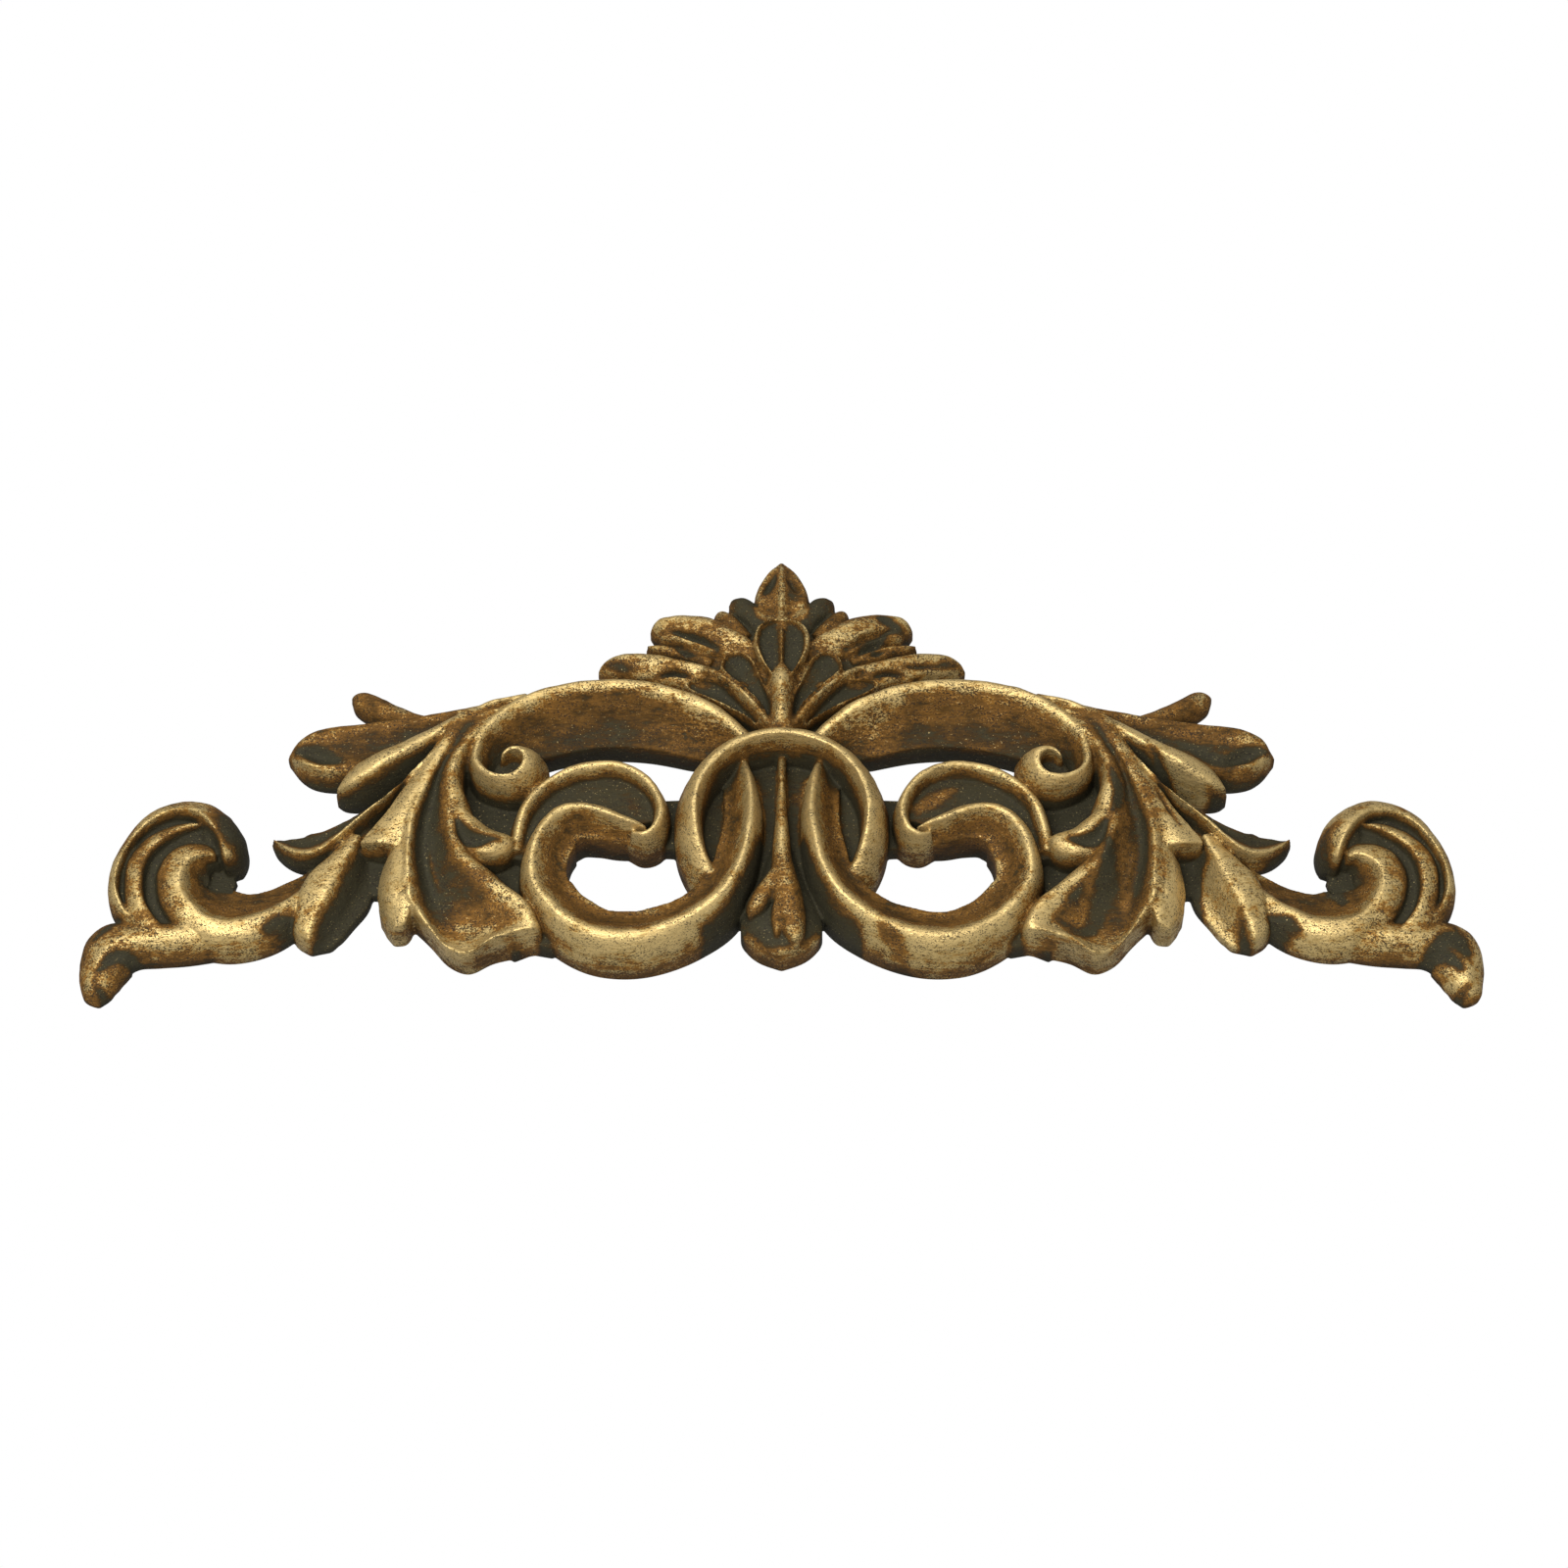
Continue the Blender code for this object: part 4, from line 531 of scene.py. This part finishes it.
# Worn and painted places: (x, z, reach along x, reach along z, change of the leaf), first those that both
# halves have, written for the left, and then single ones.
PATINA_PAIRS = [
    (-38, 36, 12, 9, .22), (-76, 34, 34, 7, -.06), (-116, 52, 16, 4, -.4), (-155, -34, 6, 16, .1),
    (-160, 18, 12, 10, .06), (-70, 52, 40, 7, -.13), (-215, -48, 20, 9, -.1), (-15, -14, 6, 14, .1),
]
PATINA = [
    (-276, -66, 14, 14, -.1), (-264, -20, 14, 24, -.14), (-236, -20, 6, 10, -.2),
    (-228, -16, 9, 12, -.75), (-182, 36, 22, 8, -.07), (-128, -42, 7, 6, -.15), (-112, -50, 6, 7, .15),
    (-100, 12, 6, 8, .05), (0, 30, 22, 6, .08), (46, 84, 20, 10, -.08), (80, 40, 26, 6, .08),
    (150, 0, 9, 20, -.1), (182, 36, 22, 8, -.05), (252, -8, 14, 7, -.12), (258, -34, 8, 12, .1),
    (264, -24, 14, 22, -.1),
]
# Where the leaf is most ragged: (x, z, reach along x, reach along z, strength), in the same way.
RAGGED_PAIRS = [
    (-34, 36, 16, 14, .8), (-112, 12, 14, 16, .5), (-190, -42, 14, 16, .7), (-96, -24, 12, 22, .6),
    (-20, -30, 8, 26, .6), (-272, -64, 22, 18, .8), (-110, -46, 16, 14, .7), (-195, 34, 18, 10, .7),
]
RAGGED = [(0, 76, 62, 34, 1.0), (0, 18, 22, 10, .6)]
# How far the wear looks around each place, and over which depth a hollow or an edge counts in full. A hollow
# darkens the gold as painted shade along with the darker glaze that gathers there; an edge brightens it as
# rubbed leaf along with a painted highlight.
LEAF_REACH = 0.8
RIM_REACH = 2.5
HOLLOW = (4.0, 8)
EDGE = (1.2, 1.5)

# Plan maps: the size of a cell, their lowest corner, and their cells along x and z.
CELL = 0.5
MAP_LOW = (-300.0, -100.0)
MAP_SIZE = (1200, 480)


def smooth_through(rows, places):
    """A Catmull-Rom curve through the rows, read at places, which count the rows from 0."""
    rows = np.asarray(rows, float)
    padded = np.vstack([2 * rows[0] - rows[1], rows, 2 * rows[-1] - rows[-2]])
    first = np.clip(np.floor(places).astype(int), 0, len(rows) - 2)
    t = (places - first)[:, None]
    a, b, c, d = (padded[first + k] for k in range(4))
    return 0.5 * (2 * b + (c - a) * t + (2 * a - 5 * b + 4 * c - d) * t**2 + (3 * b - a - 3 * c + d) * t**3)


def even_places(rows, step):
    """Places along the rows, about a step apart."""
    rows = np.asarray(rows, float)
    lengths = np.linalg.norm(np.diff(rows[:, :2], axis=0), axis=1)
    ends = np.concatenate([[0], np.cumsum(lengths)])
    count = max(4, math.ceil(ends[-1] / step))
    return np.interp(np.linspace(0, ends[-1], count + 1), ends, np.arange(len(rows)))


def section_at(section, across):
    """The share of the rise and the leaf at each place across."""
    places = np.linspace(0, len(section) - 1, 20 * len(section))
    curve = smooth_through(section, places)
    return np.stack([np.interp(across, curve[:, 0], curve[:, k]) for k in (1, 2)], axis=-1)


def band_net(section, tip, stations):
    """Points (x, z, rise, leaf) of a band's front. Over its last tip millimetres the rim wraps its end."""
    rows = smooth_through(stations, even_places(stations, STATION_STEP))
    line = rows[:, :2]
    along = np.gradient(line, axis=0)
    along /= np.linalg.norm(along, axis=1)[:, None]
    left = np.stack([-along[:, 1], along[:, 0]], axis=1)
    across = np.linspace(-1, 1, ACROSS + 1)
    reach = np.where(across < 0, -across * rows[:, 2:3], -across * rows[:, 3:4])
    place = line[:, None, :] + left[:, None, :] * reach[:, :, None]
    to_end = np.concatenate([np.cumsum(np.linalg.norm(np.diff(line, axis=0), axis=1)[::-1])[::-1], [0]])
    into_tip = np.clip(1 - to_end / max(tip, 1e-6), 0, 1)[:, None]
    outward = np.sqrt(across**2 + (1 - across**2) * into_tip**2)
    to_right = (0.5 + 0.5 * across / np.maximum(outward, 1e-6))[:, :, None]
    share = to_right * section_at(section, outward) + (1 - to_right) * section_at(section, -outward)
    rise = rows[:, 4:5] * share[:, :, 0]
    return np.concatenate([place, rise[:, :, None], share[:, :, 1:]], axis=2)


def patch_net(rows, leaf_rows):
    """Points (x, z, rise, leaf) of a front that passes through a net of drawn points."""
    rows = np.asarray(rows, float)
    leaf_places = np.linspace(0, len(leaf_rows) - 1, len(rows))
    leaf = smooth_through(leaf_rows, leaf_places)
    rows = np.concatenate([rows, leaf[:, :, None]], axis=2)
    middle = rows[:, rows.shape[1] // 2]
    down = smooth_through(rows.reshape(len(rows), -1), even_places(middle, STATION_STEP))
    down = down.reshape(len(down), -1, 4)
    places = np.linspace(0, rows.shape[1] - 1, ACROSS + 1)
    return np.stack([smooth_through(line, places) for line in down])


def knob_net(x, z, half_width, half_height, rise, shoulder, leaf):
    """Points (x, z, rise, leaf) of a round knob: an upright wall, then a dome that closes at its top."""
    tilts = np.linspace(0, math.pi / 2, 13)
    rings = [(1.0, 0.0)] + [(max(math.cos(t), 0.01), shoulder + (1 - shoulder) * math.sin(t)) for t in tilts]
    turns = np.linspace(0, 2 * math.pi, 49)
    net = np.empty((len(rings), len(turns), 4))
    for row, (r, share) in zip(net, rings):
        row[:, 0] = x + half_width * r * np.cos(turns)
        row[:, 1] = z + half_height * r * np.sin(turns)
        row[:, 2] = rise * share
        row[:, 3] = leaf
    return net


def ring_stations():
    """The horseshoe ring in the middle, from its right leg over the top to its left leg."""
    stations = []
    first, last = RING_ENDS
    for degrees in range(first, last + 1, 8):
        turn = math.radians(degrees)
        from_top = abs(degrees - 90) / (last - 90)
        rise = RING_RISE - RING_SINK * max(0.0, from_top - RING_SINKS) / (1 - RING_SINKS)
        x = RING_CENTRE[0] + RING_RADIUS * math.cos(turn)
        z = RING_CENTRE[1] + RING_RADIUS * math.sin(turn)
        stations.append((x, z, *RING_WIDTHS, rise))
    return stations


def gouge_cut(half_width, depth, places):
    """Stations (x, z, half-width, depth) of one cut, which swells from its ends to its middle."""
    line = smooth_through(places, even_places(places, GOUGE_STEP))
    swell = np.sin(np.linspace(0, math.pi, len(line)))
    return np.column_stack([line, half_width * (CUT_ENDS + (1 - CUT_ENDS) * swell), depth * swell])


def gouged(net, cuts):
    """The net's points cut down and painted along cuts of a gouge."""
    points = net.reshape(-1, 4).copy()
    for leaf, *cut in cuts:
        line = gouge_cut(*cut)
        reach = line[:, 2].max()
        low, high = line[:, :2].min(axis=0) - reach, line[:, :2].max(axis=0) + reach
        near = np.flatnonzero(np.all((points[:, :2] > low) & (points[:, :2] < high), axis=1))
        if not len(near):
            continue
        away = np.linalg.norm(points[near, None, :2] - line[None, :, :2], axis=2)
        away /= np.maximum(line[:, 2], 0.1)
        closest = away.argmin(axis=1)
        bite = (1 - np.clip(away.min(axis=1), 0, 1) ** 2) ** 2
        lowest = np.minimum(points[near, 2], LEAST_RISE)
        points[near, 2] = np.maximum(points[near, 2] - bite * line[closest, 3], lowest)
        cover = np.clip(PAINT_EDGE * bite, 0, 1)
        points[near, 3] += (leaf - points[near, 3]) * cover
    return points.reshape(net.shape)


def mirrored(net):
    return net[:, ::-1] * np.array([-1.0, 1.0, 1.0, 1.0])


def front_nets():
    """The front of every form of the headpiece."""
    sides = [band_net(*band) for band in SIDE_BANDS.values()]
    sides.append(patch_net(GREAT_LOBE, GREAT_LOBE_LEAF))
    sides.append(patch_net(WEDGE, WEDGE_LEAF))
    sides += [knob_net(*knob) for knob in KNOBS.values()]
    middle = [band_net(*band) for band in MIDDLE_BANDS.values()]
    middle.append(band_net(RING, 0, ring_stations()))
    middle.append(knob_net(*RING_BED))
    left = list(CUTS.values())
    across = [(*cut, [(-x, z) for x, z in places]) for *cut, places in left]
    right = list(RIGHT_CUTS.values())
    sides = [gouged(net, left) for net in sides]
    middle = [gouged(net, left + across + right) for net in middle]
    return sides + [gouged(mirrored(net), right) for net in sides] + middle


def standing_body(net):
    """Vertices and faces of a front stood on the wall as a closed body."""
    rows, columns = net.shape[:2]
    front = np.stack([net[..., 0], -net[..., 2], net[..., 1]], axis=-1).reshape(-1, 3)
    back = front.copy()
    back[:, 1] = BEHIND_WALL
    index = np.arange(rows * columns).reshape(rows, columns)
    quads = np.stack([index[:-1, :-1], index[:-1, 1:], index[1:, 1:], index[1:, :-1]], axis=-1).reshape(-1, 4)
    rim = np.concatenate([index[0], index[1:, -1], index[-1, -2::-1], index[-2::-1, 0]])
    far = rows * columns
    walls = np.stack([rim[1:], rim[:-1], rim[:-1] + far, rim[1:] + far], axis=-1)
    faces = np.concatenate([quads, quads[:, ::-1] + far, walls])
    return np.concatenate([front, back]), faces


def mesh_of(name, vertices, faces):
    mesh = bpy.data.meshes.new(name)
    mesh.from_pydata((vertices * MM).tolist(), [], faces.tolist())
    mesh.update()
    return mesh


def new_object(name, mesh):
    obj = bpy.data.objects.new(name, mesh)
    bpy.context.scene.collection.objects.link(obj)
    return obj


def apply_modifiers(obj):
    """Makes the object's mesh what its modifiers give."""
    bpy.context.view_layer.update()
    evaluated = obj.evaluated_get(bpy.context.evaluated_depsgraph_get())
    mesh = bpy.data.meshes.new_from_object(evaluated)
    old = obj.data
    obj.modifiers.clear()
    obj.data = mesh
    bpy.data.meshes.remove(old)


def triangle_count(mesh):
    return sum(len(face.vertices) - 2 for face in mesh.polygons)


def carve(nets):
    """All the forms fused into one skin, cut flat against the wall."""
    vertices, faces, far = [], [], 0
    for net in nets:
        body_vertices, body_faces = standing_body(net)
        vertices.append(body_vertices)
        faces.append(body_faces + far)
        far += len(body_vertices)
    mesh = mesh_of("carved_headpiece", np.concatenate(vertices), np.concatenate(faces))
    piece = new_object("carved_headpiece", mesh)
    fuse = piece.modifiers.new("fuse", "REMESH")
    fuse.mode = "VOXEL"
    fuse.voxel_size = VOXEL * MM
    soften = piece.modifiers.new("soften", "SMOOTH")
    soften.factor = 0.5
    soften.iterations = 2
    apply_modifiers(piece)
    cut_flat(piece.data)
    thin = piece.modifiers.new("thin", "DECIMATE")
    thin.ratio = min(1.0, TRIANGLES / triangle_count(piece.data))
    apply_modifiers(piece)
    return piece


def cut_flat(mesh):
    """Removes what lies behind the wall and closes the back with one flat face of triangles."""
    bm = bmesh.new()
    bm.from_mesh(mesh)
    everything = bm.verts[:] + bm.edges[:] + bm.faces[:]
    bmesh.ops.bisect_plane(bm, geom=everything, plane_co=(0, 0, 0), plane_no=(0, 1, 0), clear_outer=True)
    rim = [edge for edge in bm.edges if edge.is_boundary]
    bmesh.ops.triangle_fill(bm, use_beauty=True, edges=rim, normal=(0, 1, 0))
    bm.to_mesh(mesh)
    bm.free()


def blurred(grid, reach):
    """The grid smoothed over a reach in millimetres."""
    rows = np.fft.fftfreq(grid.shape[0], CELL)[:, None]
    columns = np.fft.rfftfreq(grid.shape[1], CELL)[None]
    soft = np.exp(-2 * (math.pi * reach) ** 2 * (rows**2 + columns**2))
    return np.fft.irfft2(np.fft.rfft2(grid) * soft, grid.shape)


def finer(net, times):
    """The net with more points, in straight steps between the old ones."""
    for _ in range(2):
        count = (len(net) - 1) * times + 1
        places = np.linspace(0, len(net) - 1, count)
        first = np.minimum(places.astype(int), len(net) - 2)
        part = (places - first)[:, None, None]
        net = (net[first] * (1 - part) + net[first + 1] * part).swapaxes(0, 1)
    return net


def cells_of(x, z):
    column = np.clip(np.round((x - MAP_LOW[0]) / CELL).astype(int), 0, MAP_SIZE[0] - 1)
    row = np.clip(np.round((z - MAP_LOW[1]) / CELL).astype(int), 0, MAP_SIZE[1] - 1)
    return column, row


def maps_of(nets):
    """Plan maps of the carving: its rise, its leaf, and 1 where there is wood."""
    points = np.concatenate([finer(net, 3).reshape(-1, 4) for net in nets])
    points = points[np.argsort(points[:, 2], kind="stable")]
    rise, leaf, wood = np.zeros(MAP_SIZE), np.zeros(MAP_SIZE), np.zeros(MAP_SIZE)
    place = cells_of(points[:, 0], points[:, 1])
    rise[place] = points[:, 2]
    leaf[place] = points[:, 3]
    wood[place] = 1
    return rise, leaf, wood


def read_map(grid, x, z):
    """The grid's values at plan points, between its cells."""
    u = np.clip((x - MAP_LOW[0]) / CELL, 0, MAP_SIZE[0] - 1.001)
    v = np.clip((z - MAP_LOW[1]) / CELL, 0, MAP_SIZE[1] - 1.001)
    i, j = u.astype(int), v.astype(int)
    s, t = u - i, v - j
    near = grid[i, j] * (1 - s) + grid[i + 1, j] * s
    far = grid[i, j + 1] * (1 - s) + grid[i + 1, j + 1] * s
    return near * (1 - t) + far * t


def mesh_array(mesh, values, name, width):
    data = np.empty(len(values) * width, np.float32)
    values.foreach_get(name, data)
    return data.reshape(-1, width).astype(float)


def worked_surface(mesh, box):
    """Moves each point a little along its normal, as hand work and thick gesso do, inside the box."""
    places = mesh_array(mesh, mesh.vertices, "co", 3) / MM
    normals = mesh_array(mesh, mesh.vertex_normals, "vector", 3)
    move = np.zeros(len(places))
    for reach, depth in HAND_WORK:
        move += depth * np.array([noise.noise(Vector(place) / reach) for place in places])
    on_back = places[:, 1] > -0.3
    move[on_back] = 0
    places += normals * move[:, None]
    places = np.clip(places * MM, np.array(box[0]), np.array(box[1]))
    mesh.vertices.foreach_set("co", places.astype(np.float32).ravel())
    mesh.update()


def add_value(mesh, name, values):
    attribute = mesh.attributes.new(name, "FLOAT", "POINT")
    attribute.data.foreach_set("value", np.asarray(values, np.float32))


def both_sides(marks):
    """Marks drawn for the left half, and the same ones on the right."""
    return marks + [(-x, *rest) for x, *rest in marks]


def spots(marks, x, z):
    """The sum of soft spots at plan points."""
    total = np.zeros(len(x))
    for middle_x, middle_z, reach_x, reach_z, strength in marks:
        total += strength * np.exp(-((x - middle_x) / reach_x) ** 2 - ((z - middle_z) / reach_z) ** 2)
    return total


def add_wear_and_painted_light(mesh, nets):
    """Point values that the gilding's colour follows: leaf, raggedness, hollows and sharp edges. Hollows
    carry painted shade along with the darker glaze in them, and sharp edges carry rubbed leaf along with a
    painted highlight.
    """
    rise, leaf, wood = maps_of(nets)
    places = mesh_array(mesh, mesh.vertices, "co", 3) / MM
    x, z, height = places[:, 0], places[:, 2], -places[:, 1]
    covered = np.maximum(blurred(wood, LEAF_REACH), 1e-3)
    value = read_map(blurred(leaf * wood, LEAF_REACH) / covered, x, z)
    add_value(mesh, "leaf", value + spots(both_sides(PATINA_PAIRS) + PATINA, x, z))
    add_value(mesh, "ragged", np.clip(spots(both_sides(RAGGED_PAIRS) + RAGGED, x, z), 0, 1))
    inland = read_map(blurred(wood, RIM_REACH), x, z)
    # How deep each point lies below its blurred surroundings: painted shade in the hollows, along with the
    # darker glaze that gathers there.
    deep = read_map(blurred(rise, HOLLOW[0]), x, z) - height
    add_value(mesh, "hollow", np.clip(deep / HOLLOW[1], -1, 1) * np.clip(2 * inland - 0.8, 0, 1))
    # How far each point stands above its close surroundings: sharp crests, where rubbed leaf and a painted
    # highlight brighten the gold.
    fine = height - read_map(blurred(rise, EDGE[0]), x, z)
    add_value(mesh, "edge", np.clip(fine / EDGE[1], -1, 1))


class Nodes:
    """Short ways to add a material's nodes."""

    def __init__(self, material):
        material.use_nodes = True
        self.tree = material.node_tree
        self.shader = self.tree.nodes["Principled BSDF"]

    def join(self, socket, value):
        if isinstance(value, bpy.types.NodeSocket):
            self.tree.links.new(value, socket)
        else:
            socket.default_value = value

    def value(self, name):
        node = self.tree.nodes.new("ShaderNodeAttribute")
        node.attribute_name = name
        return node.outputs["Fac"]

    def place(self, stretch=(1, 1, 1)):
        """Object coordinates in millimetres, pressed together by stretch."""
        node = self.tree.nodes.new("ShaderNodeMapping")
        node.inputs["Scale"].default_value = [1 / (MM * s) for s in stretch]
        source = self.tree.nodes.new("ShaderNodeTexCoord")
        self.tree.links.new(source.outputs["Object"], node.inputs["Vector"])
        return node.outputs["Vector"]

    def noise(self, place, reach, detail=4, roughness=0.55, distortion=0.0):
        """Fractal noise whose largest forms are about reach millimetres."""
        node = self.tree.nodes.new("ShaderNodeTexNoise")
        self.tree.links.new(place, node.inputs["Vector"])
        node.inputs["Scale"].default_value = 1 / reach
        node.inputs["Detail"].default_value = detail
        node.inputs["Roughness"].default_value = roughness
        node.inputs["Distortion"].default_value = distortion
        return node.outputs["Fac"]

    def math(self, operation, *values):
        node = self.tree.nodes.new("ShaderNodeMath")
        node.operation = operation
        for socket, value in zip(node.inputs, values):
            self.join(socket, value)
        return node.outputs["Value"]

    def spread(self, value, low, high, to_low=0.0, to_high=1.0):
        node = self.tree.nodes.new("ShaderNodeMapRange")
        self.join(node.inputs["Value"], value)
        for name, number in (("From Min", low), ("From Max", high), ("To Min", to_low), ("To Max", to_high)):
            node.inputs[name].default_value = number
        return node.outputs["Result"]

    def ramp(self, value, stops):
        node = self.tree.nodes.new("ShaderNodeValToRGB")
        self.join(node.inputs["Fac"], value)
        marks = node.color_ramp.elements
        while len(marks) < len(stops):
            marks.new(0.5)
        for mark, (position, colour) in zip(marks, stops):
            mark.position = position
            mark.color = (*colour, 1)
        return node.outputs["Color"]

    def mix(self, share, one, two):
        node = self.tree.nodes.new("ShaderNodeMix")
        node.data_type = "RGBA"
        self.join(node.inputs[0], share)
        for socket, value in ((node.inputs[6], one), (node.inputs[7], two)):
            self.join(socket, value if isinstance(value, bpy.types.NodeSocket) else (*value, 1))
        return node.outputs[2]

    def bump(self, height, depth_mm):
        node = self.tree.nodes.new("ShaderNodeBump")
        node.inputs["Distance"].default_value = depth_mm * MM
        self.join(node.inputs["Height"], height)
        return node.outputs["Normal"]

    def finish(self, **sockets):
        for name, value in sockets.items():
            self.join(self.shader.inputs[name.replace("_", " ")], value)


def worn_gilding():
    """Slate paint and brown wash under worn leaf: one amount of gold sets the colour, with specks in it. That
    amount also takes painted shade in the hollows and a painted highlight on sharp crests.
    """
    material = bpy.data.materials.new("worn_gilding")
    n = Nodes(material)
    place = n.place()
    brushed = n.place((3, 1, 1))
    broad = n.noise(place, 13, 3, 0.6)
    middle = n.noise(brushed, 4.0, 4, 0.6)
    fine = n.noise(brushed, 1.1, 3, 0.65)
    grit = n.noise(n.place((1.3, 1, 1)), 0.62, 2, 0.7)
    # Hollows lose gold: painted shade, along with the darker glaze in them.
    amount = n.math("MULTIPLY_ADD", n.value("hollow"), -0.35, n.value("leaf"))
    # Sharp crests gain gold: rubbed leaf, along with a painted highlight.
    amount = n.math("MULTIPLY_ADD", n.value("edge"), 0.07, amount)
    unevenness = n.spread(broad, 0.36, 0.64, -0.20, 0.17)
    unevenness = n.math("ADD", unevenness, n.spread(middle, 0.34, 0.66, -0.17, 0.15))
    unevenness = n.math("ADD", unevenness, n.spread(fine, 0.34, 0.66, -0.13, 0.12))
    streaks = n.noise(n.place((10, 1, 1)), 2.2, 3, 0.6)
    scatter = n.spread(n.noise(n.place((1.4, 1, 1)), 1.5, 3, 0.75), 0.36, 0.64, -0.28, 0.24)
    unevenness = n.math("MULTIPLY_ADD", scatter, n.value("ragged"), unevenness)
    amount = n.math("MULTIPLY_ADD", unevenness, n.spread(amount, 0.40, 0.70, 0.35, 1.0), amount)
    amount = n.math("ADD", amount, n.spread(streaks, 0.3, 0.7, -0.07, 0.07))
    layers = n.ramp(amount, LAYERS)
    speck_level = n.math("ADD", n.ramp(amount, SPECKS), n.spread(middle, 0.36, 0.62, 0.04, -0.07))
    specks = n.math("MULTIPLY", n.spread(n.math("SUBTRACT", grit, speck_level), 0.0, 0.05), 0.88)
    fleck_level = n.spread(amount, 0.52, 0.74, 0.325, 0.45)
    flecks = n.math("MULTIPLY", n.spread(n.math("SUBTRACT", fleck_level, grit), 0.0, 0.04), 0.8)
    colour = n.mix(flecks, n.mix(specks, layers, SPECK), FLECK)
    metal = n.math("MULTIPLY", n.ramp(amount, METAL), n.math("SUBTRACT", 1.0, specks))
    metal = n.math("MAXIMUM", metal, n.math("MULTIPLY", flecks, 0.85))
    rough = n.spread(metal, 0, 0.75, 0.70, 0.47)
    rough = n.math("ADD", rough, n.spread(fine, 0.3, 0.7, -0.07, 0.07))
    height = n.math("MULTIPLY_ADD", middle, 0.9, n.math("MULTIPLY", fine, 0.5))
    height = n.math("MULTIPLY_ADD", grit, -0.12, height)
    bumped = n.bump(height, 0.6)
    n.finish(Base_Color=colour, Metallic=metal, Roughness=rough, Specular_IOR_Level=0.10, Normal=bumped)
    return material


def bare_wood():
    material = bpy.data.materials.new("bare_wood_back")
    n = Nodes(material)
    grain = n.noise(n.place((14, 1, 1)), 2.2, 5, 0.6, 0.5)
    stain = n.noise(n.place(), 30, 3)
    colour = n.mix(n.spread(stain, 0.3, 0.7, 0, 0.6), n.ramp(grain, WOOD), DARK)
    n.finish(Base_Color=colour, Roughness=n.spread(grain, 0.3, 0.7, 0.65, 0.85), Normal=n.bump(grain, 0.3))
    return material


def dress_headpiece():
    nets = front_nets()
    piece = carve(nets)
    mesh = piece.data
    worked_surface(mesh, cad_box)
    add_wear_and_painted_light(mesh, nets)
    mesh.materials.clear()
    mesh.materials.append(worn_gilding())
    mesh.materials.append(bare_wood())
    for face in mesh.polygons:
        face.use_smooth = True
        if face.normal.y > 0.99 and face.center.y > -0.1 * MM:
            face.material_index = 1
            face.use_smooth = False
    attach(piece, "root")
    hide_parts("headpiece")
    return piece


def add_floor():
    material = bpy.data.materials.new("pale_floor")
    n = Nodes(material)
    tint = n.noise(n.place(), 300, 2)
    n.finish(Base_Color=n.ramp(tint, [(0, (.80, .80, .79)), (1, (.86, .86, .85))]), Roughness=0.9)
    bm = bmesh.new()
    bmesh.ops.create_grid(bm, x_segments=1, y_segments=1, size=4)
    mesh = bpy.data.meshes.new("floor")
    bm.to_mesh(mesh)
    bm.free()
    mesh.materials.append(material)
    floor = new_object("floor", mesh)
    floor.location = (0, 0, FLOOR_Z)


def add_light(name, place, target, size, power):
    lamp = bpy.data.objects.new(name, bpy.data.lights.new(name, "AREA"))
    lamp.data.shape = "RECTANGLE"
    lamp.data.size, lamp.data.size_y = size
    lamp.data.energy = power
    lamp.location = place
    lamp.rotation_mode = "QUATERNION"
    lamp.rotation_quaternion = (Vector(target) - Vector(place)).to_track_quat("-Z", "Y")
    bpy.context.scene.collection.objects.link(lamp)


def add_studio():
    """White all round for the camera, softer grey as light, and large soft lamps."""
    world = bpy.data.worlds.new("studio")
    world.use_nodes = True
    bpy.context.scene.world = world
    tree = world.node_tree
    light = tree.nodes["Background"]
    light.inputs["Color"].default_value = (1, 1, 1, 1)
    light.inputs["Strength"].default_value = WORLD_LIGHT
    seen = tree.nodes.new("ShaderNodeBackground")
    seen.inputs["Color"].default_value = (1, 1, 1, 1)
    path = tree.nodes.new("ShaderNodeLightPath")
    blend = tree.nodes.new("ShaderNodeMixShader")
    tree.links.new(path.outputs["Is Camera Ray"], blend.inputs[0])
    tree.links.new(light.outputs[0], blend.inputs[1])
    tree.links.new(seen.outputs[0], blend.inputs[2])
    tree.links.new(blend.outputs[0], tree.nodes["World Output"].inputs["Surface"])
    for lamp in LAMPS:
        add_light(*lamp)
    bpy.context.scene.view_settings.view_transform = "Standard"


def add_camera():
    below = math.radians(CAMERA_BELOW)
    forward = Vector((0, math.cos(below), math.sin(below)))
    camera = bpy.data.objects.new("camera", bpy.data.cameras.new("camera"))
    camera.location = Vector(CAMERA_TARGET) - forward * CAMERA_DISTANCE
    camera.rotation_mode = "QUATERNION"
    camera.rotation_quaternion = forward.to_track_quat("-Z", "Y")
    camera.data.lens = LENS_MM
    camera.data.clip_start = 0.01
    bpy.context.scene.collection.objects.link(camera)
    bpy.context.scene.camera = camera


dress_headpiece()
add_floor()
add_studio()
add_camera()
